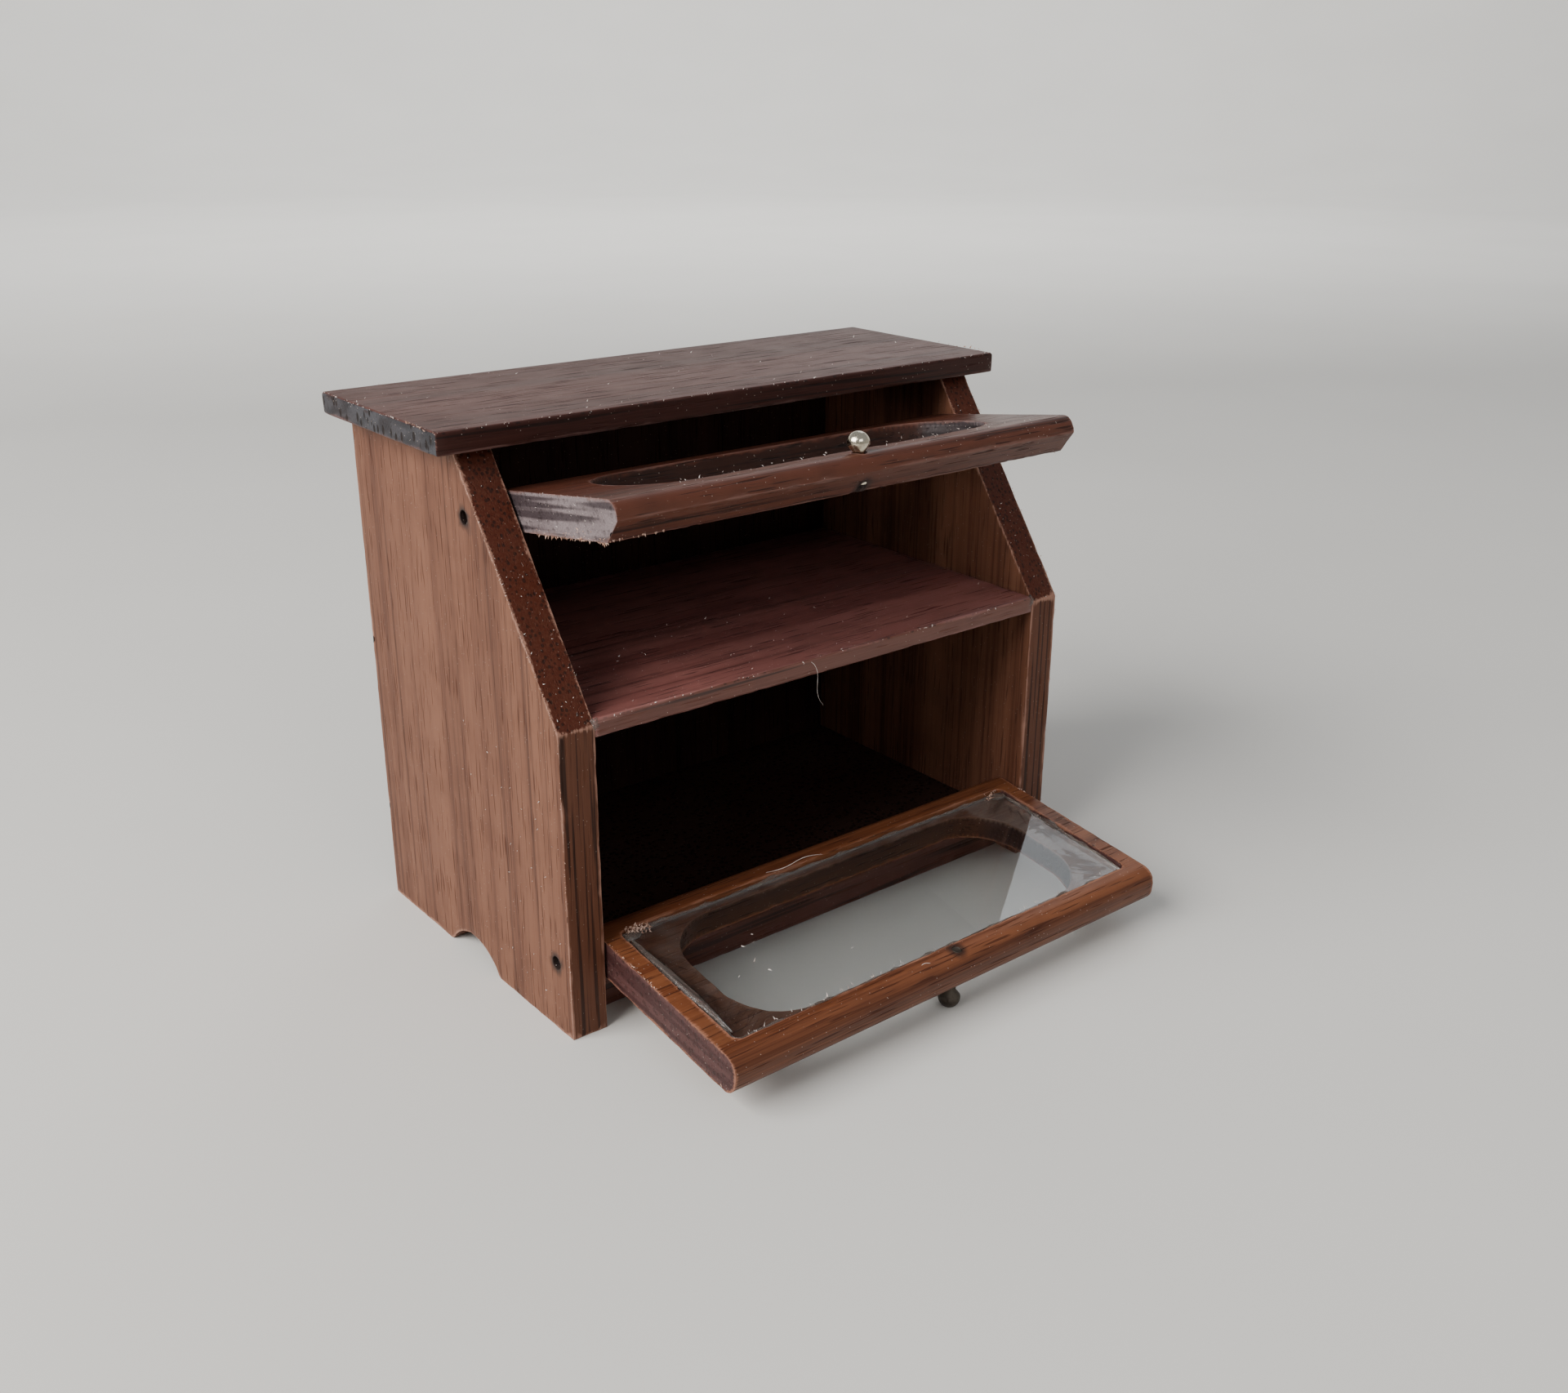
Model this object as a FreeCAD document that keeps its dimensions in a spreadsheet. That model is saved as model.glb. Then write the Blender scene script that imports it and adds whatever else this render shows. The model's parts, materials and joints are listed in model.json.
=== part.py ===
"""Miniature barrister bookcase for a dolls house, as a parametric FreeCAD document.

A slope-fronted case of dark wood: two side panels with a foot arch, a top board, a shelf,
a bottom board, a kick rail and a back panel. Two glazed doors turn on plain wire pins that
go through the side panels. The upper door lifts, the lower door drops.

Frame: millimetres, +Z up, the doors face -Y, and the origin is at floor height in the middle
of everything's width and depth with the doors as they stand open.
"""
import os

import FreeCAD
import Part
import Sketcher

App = FreeCAD
doc = App.newDocument("miniature_bookcase")

# ---------------------------------------------------------------- driving dimensions
# alias, value in millimetres or degrees, meaning
DIMENSIONS = [
    ("case_width", 43.1, "over the outer faces of the side panels"),
    ("case_depth", 25.0, "side panel, front edge to back edge"),
    ("case_height", 36.2, "side panel, floor to top board"),
    ("knee_height", 21.1, "floor to the corner where the front starts to slope"),
    ("crown_depth", 14.2, "depth of a side panel at its top"),
    ("side_thick", 2.55, "side panel"),
    ("arch_centre", 12.8, "front edge to the middle of the foot arch"),
    ("arch_half", 3.3, "half the width of the foot arch"),
    ("arch_rise", 1.75, "height of the foot arch"),
    ("arch_flare", 0.6, "round where the arch meets the foot"),
    ("lid_thick", 1.45, "top board"),
    ("lid_side", 1.7, "top board past a side panel"),
    ("lid_front", 1.4, "top board past the top of the slope"),
    ("lid_back", 0.5, "top board past the back edge"),
    ("lid_round", 0.2, "worn arris of the top board"),
    ("shelf_top", 21.5, "floor to the top of the shelf"),
    ("board_thick", 1.2, "shelf, bottom board and back panel"),
    ("base_top", 3.4, "floor to the top of the bottom board"),
    ("kick_front", 2.1, "front edge of the sides to the kick rail"),
    ("kick_thick", 1.5, "kick rail"),
    ("pin_radius", 0.45, "hinge wire"),
    ("pin_sunk", 0.4, "hinge wire below the outer face of a side"),
    ("pin_depth", 3.0, "hinge wire inside the end of a door"),
    ("pin_point", 0.4, "cut point of the hinge wire"),
    ("pin_play", 0.05, "radial clearance of a hinge wire in a door"),
    ("door_play", 0.22, "side clearance at each end of a door"),
    ("pane_thick", 0.5, "glass"),
    ("pane_play", 0.2, "glass to the edge of its rebate"),
    ("rebate_depth", 0.75, "rebate for the glass, from the inner face"),
    ("rebate_half", 17.5, "half the length of the rebate"),
    ("rebate_round", 0.6, "corner of the rebate"),
    ("window_half", 15.1, "half the length of the window"),
    ("window_round", 4.2, "corner of the window"),
    ("bead_over", 0.75, "glue bead over the edge of the glass"),
    ("bead_high", 0.2, "glue bead above the glass"),
    ("ball_radius", 0.74, "ball of a knob"),
    ("neck_radius", 0.34, "neck and shank of a knob"),
    ("collar_radius", 0.56, "collar of a knob"),
    ("collar_thick", 0.16, "collar of a knob"),
    ("upper_pin_y", 9.9, "front edge of the sides to the upper hinge axis"),
    ("upper_pin_z", 32.2, "floor to the upper hinge axis"),
    ("upper_half", 1.25, "half the thickness of the upper door"),
    ("upper_reach", 13.0, "hinge axis to the nose of the upper door"),
    ("upper_turn", -9.0, "upper door as it stands: lifted above level"),
    ("upper_window_near", 1.5, "hinge axis to the window"),
    ("upper_window_far", 10.6, "hinge axis to the far side of the window"),
    ("upper_rebate_near", 0.8, "hinge axis to the rebate"),
    ("upper_rebate_far", 11.25, "hinge axis to the far side of the rebate"),
    ("upper_nose_round", 0.9, "round at the outer face of the nose"),
    ("upper_bevel_high", 1.3, "height of the back bevel of the nose"),
    ("upper_bevel_deep", 1.3, "depth of the back bevel of the nose"),
    ("upper_knob_at", 12.0, "hinge axis to the upper knob"),
    ("upper_ball_reach", 0.6, "face of the upper door to the centre of the ball"),
    ("upper_shank_short", 0.5, "inner face of the upper door to the end of the shank"),
    ("seat_radius", 0.5, "counterbore that the upper ball sits in"),
    ("seat_depth", 0.2, "counterbore that the upper ball sits in"),
    ("lower_pin_y", 1.65, "front edge of the sides to the lower hinge axis"),
    ("lower_pin_z", 4.95, "floor to the lower hinge axis"),
    ("lower_half", 1.3, "half the thickness of the lower door"),
    ("lower_reach", 15.16, "hinge axis to the nose of the lower door"),
    ("lower_turn", 7.0, "lower door as it stands: dropped below level"),
    ("lower_window_near", 1.5, "hinge axis to the window"),
    ("lower_window_far", 12.85, "hinge axis to the far side of the window"),
    ("lower_rebate_near", 0.8, "hinge axis to the rebate"),
    ("lower_rebate_far", 13.4, "hinge axis to the far side of the rebate"),
    ("lower_nose_round", 1.1, "rounds of the nose"),
    ("lower_knob_at", 14.0, "hinge axis to the lower knob"),
    ("lower_ball_reach", 1.2, "face of the lower door to the centre of the ball"),
    ("lower_shank_short", 0.02, "inner face of the lower door to the end of the shank"),
]

sheet = doc.addObject("Spreadsheet::Sheet", "Sizes")
for row, (alias, value, meaning) in enumerate(DIMENSIONS, start=1):
    sheet.set(f"A{row}", alias)
    sheet.set(f"B{row}", str(value))
    sheet.set(f"C{row}", meaning)
    sheet.setAlias(f"B{row}", alias)
doc.recompute()

# ---------------------------------------------------------------- worked-out dimensions
# Each name holds an expression on the sheet, so it follows the driving dimensions.
OUTER_X = "Sizes.case_width / 2"
INNER_X = "(Sizes.case_width / 2 - Sizes.side_thick)"
INNER_WIDTH = "(Sizes.case_width - 2 * Sizes.side_thick)"
BACK_FACE = "(Sizes.case_depth - Sizes.board_thick)"
DOOR_HALF = f"({INNER_X} - Sizes.door_play)"
LID_BACK = "(Sizes.case_depth + Sizes.lid_back)"
LID_DEPTH = "(Sizes.crown_depth + Sizes.lid_front + Sizes.lid_back)"
# How far the open lower door stands in front of its hinge, measured level.
LOWER_FRONT = (
    "((Sizes.lower_reach - Sizes.lower_nose_round) * cos(Sizes.lower_turn * 1 deg)"
    " + (Sizes.lower_half - Sizes.lower_nose_round) * sin(Sizes.lower_turn * 1 deg)"
    " + Sizes.lower_nose_round)"
)
# The case is set back so that the middle of the whole depth is at the origin.
FRONT_EDGE = f"(-({LID_BACK} + Sizes.lower_pin_y - {LOWER_FRONT}) / 2)"
# The foot arch is a stretch of circle through its two ends and its crown.
ARCH_RADIUS = "((Sizes.arch_half ^ 2 + Sizes.arch_rise ^ 2) / (2 * Sizes.arch_rise))"
BORE_RADIUS = "(Sizes.pin_radius + Sizes.pin_play)"
BORE_DEPTH = "(Sizes.pin_depth + Sizes.door_play)"

nodes = []


def number(expression):
    """The present value of an expression on the sheet, as a plain number."""
    value = sheet.evalExpression(expression)
    return float(getattr(value, "Value", value))


def finish_node(obj, label):
    """Give a finished sub-part the name that it goes by."""
    obj.Label = label
    nodes.append(obj)
    return obj


def set_place(obj, base_x="0", base_y="0", base_z="0"):
    """Bind an object's place to the sheet. base_y counts back from the sides' front edge."""
    obj.setExpression("Placement.Base.x", base_x)
    obj.setExpression("Placement.Base.y", f"{FRONT_EDGE} + {base_y}")
    obj.setExpression("Placement.Base.z", base_z)


def set_door_place(obj, door):
    """Put an object that is drawn in a door's own frame at its hinge, turned as it stands."""
    obj.Placement = App.Placement(App.Vector(), App.Rotation(App.Vector(1, 0, 0), 1))
    obj.setExpression("Placement.Rotation.Angle", f"Sizes.{door}_turn * 1 deg")
    set_place(obj, "0", f"Sizes.{door}_pin_y", f"Sizes.{door}_pin_z")


# ---------------------------------------------------------------- sketch helpers
def new_body(name):
    return doc.addObject("PartDesign::Body", name)


def new_sketch(body, name, plane, height="0"):
    """A sketch on one of the body's own origin planes, lifted by an expression."""
    sketch = body.newObject("Sketcher::SketchObject", name)
    origin_plane = next(f for f in body.Origin.OriginFeatures if f.Role == plane)
    sketch.AttachmentSupport = [(origin_plane, "")]
    sketch.MapMode = "FlatFace"
    sketch.setExpression("AttachmentOffset.Base.z", height)
    return sketch


def pin_point(sketch, line, end, across, up):
    """Fix one end of a line at a pair of expressions, counted from the sketch's origin."""
    for kind, axis, expression in (("DistanceX", -2, across), ("DistanceY", -1, up)):
        value = number(expression)
        if abs(value) < 1e-9:
            sketch.addConstraint(Sketcher.Constraint("PointOnObject", line, end, axis))
            continue
        index = sketch.addConstraint(Sketcher.Constraint(kind, -1, 1, line, end, value))
        sketch.setExpression(f"Constraints[{index}]", expression)


def draw_outline(sketch, corners):
    """A closed outline of straight lines through corners given as pairs of expressions."""
    points = [App.Vector(number(across), number(up), 0) for across, up in corners]
    count = len(points)
    for index in range(count):
        segment = Part.LineSegment(points[index], points[(index + 1) % count])
        sketch.addGeometry(segment, False)
    for index in range(count):
        joined = Sketcher.Constraint("Coincident", index, 2, (index + 1) % count, 1)
        sketch.addConstraint(joined)
    for index, (across, up) in enumerate(corners):
        pin_point(sketch, index, 1, across, up)


def draw_rectangle(sketch, left, right, bottom, top):
    draw_outline(sketch, [(left, bottom), (right, bottom), (right, top), (left, top)])


def draw_circle(sketch, across, up, radius):
    centre = App.Vector(number(across), number(up), 0)
    circle = Part.Circle(centre, App.Vector(0, 0, 1), number(radius))
    index = sketch.addGeometry(circle, False)
    pin_point(sketch, index, 3, across, up)
    bound = sketch.addConstraint(Sketcher.Constraint("Radius", index, number(radius)))
    sketch.setExpression(f"Constraints[{bound}]", radius)
    return index


# ---------------------------------------------------------------- feature helpers
def pad(body, sketch, length, midplane=False):
    feature = body.newObject("PartDesign::Pad", sketch.Name + "_pad")
    feature.Profile = sketch
    feature.setExpression("Length", length)
    feature.Midplane = midplane
    sketch.Visibility = False
    doc.recompute()
    return feature


def pocket(body, sketch, depth=None, backwards=False):
    """Cut a sketch to a depth, or right through both ways when no depth is given."""
    before = body.Shape.Volume
    feature = body.newObject("PartDesign::Pocket", sketch.Name + "_pocket")
    feature.Profile = sketch
    if depth is None:
        feature.Type = "ThroughAll"
        feature.Midplane = True
    else:
        feature.setExpression("Length", depth)
        feature.Reversed = backwards
    sketch.Visibility = False
    doc.recompute()
    if body.Shape.Volume >= before - 1e-6:
        raise RuntimeError(f"{feature.Name} cuts nothing")
    return feature


def round_edges(body, name, radius, wanted):
    """Fillet the edges of the body's tip that wanted(edge) picks."""
    base = body.Tip
    picked = [f"Edge{i}" for i, edge in enumerate(base.Shape.Edges, start=1) if wanted(edge)]
    if not picked:
        raise RuntimeError(f"{name} finds no edge")
    feature = body.newObject("PartDesign::Fillet", name)
    feature.Base = (base, picked)
    feature.setExpression("Radius", radius)
    doc.recompute()
    if "Invalid" in feature.State:
        raise RuntimeError(f"{name} does not fit its edges")
    return feature


def runs_along(edge, axis):
    """True for a straight edge whose two ends differ only along one axis."""
    if edge.Curve.TypeId != "Part::GeomLine":
        return False
    span = edge.Vertexes[-1].Point - edge.Vertexes[0].Point
    off_axis = [abs(span[i]) for i in range(3) if i != axis]
    return max(off_axis) < 1e-6 < abs(span[axis])


def near(value, expression, slack=1e-4):
    return abs(value - number(expression)) < slack





# ---------------------------------------------------------------- the case
def side_panel(label, base_x):
    """A side: straight below the knee, sloping above it, arched at the foot."""
    body = new_body(label)
    outline = new_sketch(body, label + "_outline", "YZ_Plane")
    draw_outline(outline, [
        ("0", "0"),
        ("Sizes.case_depth", "0"),
        ("Sizes.case_depth", "Sizes.case_height"),
        ("Sizes.case_depth - Sizes.crown_depth", "Sizes.case_height"),
        ("0", "Sizes.knee_height"),
    ])
    pad(body, outline, "Sizes.side_thick")

    arch = new_sketch(body, label + "_arch", "YZ_Plane")
    draw_circle(arch, "Sizes.arch_centre", f"Sizes.arch_rise - {ARCH_RADIUS}", ARCH_RADIUS)
    pocket(body, arch)
    round_edges(body, label + "_arch_flare", "Sizes.arch_flare", is_arch_end)

    pin_holes = new_sketch(body, label + "_pin_holes", "YZ_Plane")
    for door in ("upper", "lower"):
        draw_circle(pin_holes, f"Sizes.{door}_pin_y", f"Sizes.{door}_pin_z", "Sizes.pin_radius")
    pocket(body, pin_holes)

    set_place(body, base_x)
    return finish_node(body, label)


def is_arch_end(edge):
    if not runs_along(edge, 0):
        return False
    point = edge.Vertexes[0].Point
    off_centre = abs(point.y - number("Sizes.arch_centre"))
    return abs(point.z) < 1e-4 and near(off_centre, "Sizes.arch_half")


def plain_board(label, base_x, base_y, base_z, size_x, size_y, size_z):
    """A board sawn square, placed by its left front bottom corner."""
    board = doc.addObject("Part::Box", label)
    board.setExpression("Length", size_x)
    board.setExpression("Width", size_y)
    board.setExpression("Height", size_z)
    set_place(board, base_x, base_y, base_z)
    return finish_node(board, label)


def top_board():
    """The top: past the sides all round, its upper arrises worn."""
    body = new_body("top_board")
    outline = new_sketch(body, "top_board_outline", "XY_Plane")
    reach = f"({OUTER_X} + Sizes.lid_side)"
    draw_rectangle(outline, f"-{reach}", reach, "0", LID_DEPTH)
    pad(body, outline, "Sizes.lid_thick")
    round_edges(
        body, "top_board_worn", "Sizes.lid_round",
        lambda edge: all(near(v.Point.z, "Sizes.lid_thick") for v in edge.Vertexes),
    )
    set_place(body, "0", f"{LID_BACK} - {LID_DEPTH}", "Sizes.case_height")
    return finish_node(body, "top_board")


def build_case():
    side_panel("side_left", f"-{OUTER_X}")
    side_panel("side_right", INNER_X)
    top_board()
    plain_board(
        "back_panel", f"-{INNER_X}", BACK_FACE, "0",
        INNER_WIDTH, "Sizes.board_thick", "Sizes.case_height",
    )
    plain_board(
        "shelf", f"-{INNER_X}", "0", "Sizes.shelf_top - Sizes.board_thick",
        INNER_WIDTH, BACK_FACE, "Sizes.board_thick",
    )
    plain_board(
        "bottom_board", f"-{INNER_X}", "Sizes.kick_front", "Sizes.base_top - Sizes.board_thick",
        INNER_WIDTH, f"{BACK_FACE} - Sizes.kick_front", "Sizes.board_thick",
    )
    plain_board(
        "kick_rail", f"-{INNER_X}", "Sizes.kick_front", "0",
        INNER_WIDTH, "Sizes.kick_thick", "Sizes.base_top - Sizes.board_thick",
    )


# ---------------------------------------------------------------- hinge wires
def hinge_pin(label, door, side):
    """A cut wire with a blunt point, from just inside a side's outer face into the door."""
    length = "(Sizes.side_thick - Sizes.pin_sunk + Sizes.door_play + Sizes.pin_depth)"
    shaft = f"({length} - Sizes.pin_point)"
    body = new_body(label)
    wire = body.newObject("PartDesign::AdditiveCylinder", label + "_wire")
    wire.setExpression("Radius", "Sizes.pin_radius")
    wire.setExpression("Height", shaft)
    point = body.newObject("PartDesign::AdditiveCone", label + "_point")
    point.setExpression("Radius1", "Sizes.pin_radius")
    point.setExpression("Radius2", "Sizes.pin_radius / 2")
    point.setExpression("Height", "Sizes.pin_point")
    point.setExpression("Placement.Base.z", shaft)
    quarter_turn = App.Rotation(App.Vector(0, 1, 0), -90 * side)
    body.Placement = App.Placement(App.Vector(), quarter_turn)
    sign = "" if side > 0 else "-"
    set_place(
        body, f"{sign}({OUTER_X} - Sizes.pin_sunk)", f"Sizes.{door}_pin_y", f"Sizes.{door}_pin_z",
    )
    return finish_node(body, label)


# ---------------------------------------------------------------- the doors
# A door is drawn level: the hinge axis along X through its origin, the nose towards -Y and
# the upper face towards +Z. The lower door's inner face is up, the upper door's is down.
INNER_SIDE = {"upper": -1, "lower": 1}


def signed(sign, expression):
    return expression if sign > 0 else f"-({expression})"


def draw_door_rectangle(sketch, half_length, near_hinge, far_side):
    """A rectangle on a door's face, centred on its length."""
    draw_rectangle(sketch, f"-({half_length})", half_length, f"-({far_side})", f"-({near_hinge})")


def door_profile(door):
    """The section of a door as corners (depth from the hinge as -Y, height as Z)."""
    half = f"Sizes.{door}_half"
    nose = f"-Sizes.{door}_reach"
    if door == "lower":
        return [("0", f"-{half}"), ("0", half), (nose, half), (nose, f"-{half}")]
    bevel_top = f"Sizes.upper_bevel_high - {half}"
    bevel_end = f"Sizes.upper_bevel_deep - Sizes.upper_reach"
    return [("0", f"-{half}"), ("0", half), (nose, half), (nose, bevel_top), (bevel_end, f"-{half}")]


def door_frame(door):
    """One board of wood: rounded at hinge and nose, rebated and cut through for the glass."""
    label = f"{door}_door_frame"
    half = f"Sizes.{door}_half"
    inner = INNER_SIDE[door]
    body = new_body(label)

    section = new_sketch(body, label + "_section", "YZ_Plane")
    draw_outline(section, door_profile(door))
    pad(body, section, f"2 * {DOOR_HALF}", midplane=True)
    barrel = new_sketch(body, label + "_barrel", "YZ_Plane")
    draw_circle(barrel, "0", "0", half)
    pad(body, barrel, f"2 * {DOOR_HALF}", midplane=True)
    round_edges(body, label + "_nose", f"Sizes.{door}_nose_round", nose_picker(door))

    rebate = new_sketch(body, label + "_rebate", "XY_Plane", signed(inner, half))
    draw_door_rectangle(
        rebate, "Sizes.rebate_half", f"Sizes.{door}_rebate_near", f"Sizes.{door}_rebate_far",
    )
    pocket(body, rebate, "Sizes.rebate_depth", backwards=inner < 0)
    round_edges(
        body, label + "_rebate_corners", "Sizes.rebate_round",
        lambda edge: runs_along(edge, 2) and near(abs(edge.Vertexes[0].Point.x), "Sizes.rebate_half"),
    )

    window = new_sketch(body, label + "_window", "XY_Plane")
    draw_door_rectangle(
        window, "Sizes.window_half", f"Sizes.{door}_window_near", f"Sizes.{door}_window_far",
    )
    pocket(body, window)
    round_edges(
        body, label + "_window_corners", "Sizes.window_round",
        lambda edge: runs_along(edge, 2) and near(abs(edge.Vertexes[0].Point.x), "Sizes.window_half"),
    )

    shank_hole = new_sketch(body, label + "_shank_hole", "XY_Plane")
    draw_circle(shank_hole, "0", f"-Sizes.{door}_knob_at", "Sizes.neck_radius")
    pocket(body, shank_hole)
    if door == "upper":
        seat = new_sketch(body, label + "_seat", "XY_Plane", signed(-inner, half))
        draw_circle(seat, "0", f"-Sizes.{door}_knob_at", "Sizes.seat_radius")
        pocket(body, seat, "Sizes.seat_depth", backwards=inner > 0)

    for end in (-1, 1):
        side = "left" if end < 0 else "right"
        bore = new_sketch(body, f"{label}_bore_{side}", "YZ_Plane", signed(end, DOOR_HALF))
        draw_circle(bore, "0", "0", BORE_RADIUS)
        pocket(body, bore, BORE_DEPTH, backwards=end < 0)

    set_door_place(body, door)
    return finish_node(body, label)


def nose_picker(door):
    """Pick the long arrises of the nose: both on the lower door, the outer on the upper."""
    def wanted(edge):
        if not runs_along(edge, 0):
            return False
        point = edge.Vertexes[0].Point
        at_nose = near(point.y, f"-Sizes.{door}_reach")
        return at_nose and (door == "lower" or near(point.z, "Sizes.upper_half"))
    return wanted


def door_pane(door):
    """The glass, lying on the ledge of the rebate with a little play all round."""
    label = f"{door}_door_pane"
    inner = INNER_SIDE[door]
    body = new_body(label)
    ledge = signed(inner, f"Sizes.{door}_half - Sizes.rebate_depth")
    if inner < 0:
        ledge = f"{ledge} - Sizes.pane_thick"
    outline = new_sketch(body, label + "_outline", "XY_Plane", ledge)
    draw_pane(outline, door, "Sizes.pane_play")
    pad(body, outline, "Sizes.pane_thick")
    set_door_place(body, door)
    return finish_node(body, label)


def draw_pane(sketch, door, inset):
    """The rebate's outline drawn in by an inset on all sides."""
    draw_door_rectangle(
        sketch, f"Sizes.rebate_half - ({inset})",
        f"Sizes.{door}_rebate_near + ({inset})", f"Sizes.{door}_rebate_far - ({inset})",
    )


def door_glue(door):
    """The clear glue that holds the glass: a ring round its edge and over its inner face."""
    label = f"{door}_door_glue"
    inner = INNER_SIDE[door]
    body = new_body(label)
    ledge = f"Sizes.{door}_half - Sizes.rebate_depth"
    thick = "(Sizes.pane_thick + Sizes.bead_high)"
    start = ledge if inner > 0 else f"-({ledge}) - {thick}"
    glass = ledge if inner > 0 else f"-({ledge}) - Sizes.pane_thick"

    outer = new_sketch(body, label + "_outer", "XY_Plane", start)
    draw_pane(outer, door, "0")
    pad(body, outer, thick)
    round_edges(
        body, label + "_corners", "Sizes.rebate_round", lambda edge: runs_along(edge, 2),
    )
    # The groove that the glass fills.
    seat_height = f"{glass} + Sizes.pane_thick"
    seat = new_sketch(body, label + "_seat", "XY_Plane", seat_height)
    draw_pane(seat, door, "Sizes.pane_play")
    pocket(body, seat, "Sizes.pane_thick")
    middle = new_sketch(body, label + "_middle", "XY_Plane")
    draw_pane(middle, door, "Sizes.pane_play + Sizes.bead_over")
    pocket(body, middle)
    set_door_place(body, door)
    return finish_node(body, label)


def door_knob(door):
    """A ball-headed pin: its shank goes through the door and ends just inside its inner face."""
    label = f"{door}_door_knob"
    half = f"Sizes.{door}_half"
    reach = f"Sizes.{door}_ball_reach"
    short = f"Sizes.{door}_shank_short"
    outer = -INNER_SIDE[door]
    body = new_body(label)
    shank = body.newObject("PartDesign::AdditiveCylinder", label + "_shank")
    shank.setExpression("Radius", "Sizes.neck_radius")
    shank.setExpression("Height", f"2 * {half} + {reach} - {short}")
    collar = body.newObject("PartDesign::AdditiveCylinder", label + "_collar")
    collar.setExpression("Radius", "Sizes.collar_radius")
    collar.setExpression("Height", "Sizes.collar_thick")
    ball = body.newObject("PartDesign::AdditiveSphere", label + "_ball")
    ball.setExpression("Radius", "Sizes.ball_radius")
    starts = {
        shank: f"-({half} - {short})" if outer > 0 else f"-({half} + {reach})",
        collar: half if outer > 0 else f"-({half} + Sizes.collar_thick)",
        ball: signed(outer, f"{half} + {reach}"),
    }
    for piece, start in starts.items():
        piece.setExpression("Placement.Base.y", f"-Sizes.{door}_knob_at")
        piece.setExpression("Placement.Base.z", start)
    set_door_place(body, door)
    return finish_node(body, label)


def build_door(door):
    door_frame(door)
    door_pane(door)
    door_glue(door)
    door_knob(door)
    hinge_pin(f"{door}_hinge_pin_left", door, side=-1)
    hinge_pin(f"{door}_hinge_pin_right", door, side=1)


# ---------------------------------------------------------------- build, check, export
build_case()
build_door("upper")
build_door("lower")
doc.recompute()

failed = [o.Name for o in doc.Objects if {"Invalid", "Error"} & set(o.State)]
if failed:
    raise RuntimeError(f"failed objects: {failed}")
for node in nodes:
    if node.Shape.isNull() or not node.Shape.isValid():
        raise RuntimeError(f"{node.Label} has no valid shape")

os.makedirs("parts", exist_ok=True)
whole = App.BoundBox()
for node in nodes:
    box = node.Shape.BoundBox
    whole.add(box)
    node.Shape.exportStep(f"parts/{node.Label}.step")
    print(f"{node.Label}: solids {len(node.Shape.Solids)}, volume {node.Shape.Volume:.2f} mm3")
print(f"x {whole.XMin:.3f} to {whole.XMax:.3f}, y {whole.YMin:.3f} to {whole.YMax:.3f}, "
      f"z {whole.ZMin:.3f} to {whole.ZMax:.3f}")
print(f"front edge of the sides at y {number(FRONT_EDGE):.4f}")
for name in ("upper", "lower"):
    hinge_y = number(f"{FRONT_EDGE} + Sizes.{name}_pin_y")
    print(f"{name} hinge axis at y {hinge_y:.4f}, z {number(f'Sizes.{name}_pin_z'):.4f}")
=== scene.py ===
# %% [markdown]
# # A dolls-house bookcase with two glazed doors
#
# The real object is a palm-sized case of dark stained wood. Each cell below makes one piece or
# one finish of it. The shape of every board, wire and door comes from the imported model, which
# also says what moves, so this lesson is about surfaces, worn edges and small debris.

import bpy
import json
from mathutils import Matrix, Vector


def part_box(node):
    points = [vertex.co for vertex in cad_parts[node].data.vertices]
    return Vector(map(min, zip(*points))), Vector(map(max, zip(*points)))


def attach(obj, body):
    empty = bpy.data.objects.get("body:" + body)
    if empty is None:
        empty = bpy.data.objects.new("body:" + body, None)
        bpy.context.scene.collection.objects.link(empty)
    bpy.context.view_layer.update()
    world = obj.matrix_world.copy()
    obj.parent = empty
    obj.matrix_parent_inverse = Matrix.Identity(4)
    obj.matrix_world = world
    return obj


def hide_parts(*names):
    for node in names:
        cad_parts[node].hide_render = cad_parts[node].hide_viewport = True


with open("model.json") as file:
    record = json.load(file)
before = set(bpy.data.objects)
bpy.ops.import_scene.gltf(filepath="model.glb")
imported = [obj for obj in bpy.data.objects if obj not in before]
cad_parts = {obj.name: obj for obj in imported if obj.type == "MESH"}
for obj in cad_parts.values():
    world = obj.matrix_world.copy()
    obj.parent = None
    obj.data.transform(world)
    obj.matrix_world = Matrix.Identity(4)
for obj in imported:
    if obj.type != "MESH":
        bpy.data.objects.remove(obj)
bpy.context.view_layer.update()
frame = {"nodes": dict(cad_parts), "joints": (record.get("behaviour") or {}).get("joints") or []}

# %% [markdown]
# Everything below is measured in millimetres and turned to metres with one factor.

# %% Tools and units
import json
import math
import random

import bmesh
import bpy
from mathutils import Matrix, Vector, kdtree, noise

MM = 0.001
DOORS = ("upper", "lower")

# %% [markdown]
# ## The camera and the light
#
# A small object is looked at from close by, a little above and to its left, so the near corner
# looms. A camera set where the eye would be gives that perspective. It is placed by heading,
# pitch and a slight roll rather than by a target, because those are what a hand holds.

# %% Camera
CAMERA_PLACE = Vector((-64.16, -79.86, 57.56)) * MM
CAMERA_HEADING = -38.939
CAMERA_PITCH = -21.893
CAMERA_ROLL = 0.331
LENS = 35.91

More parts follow.
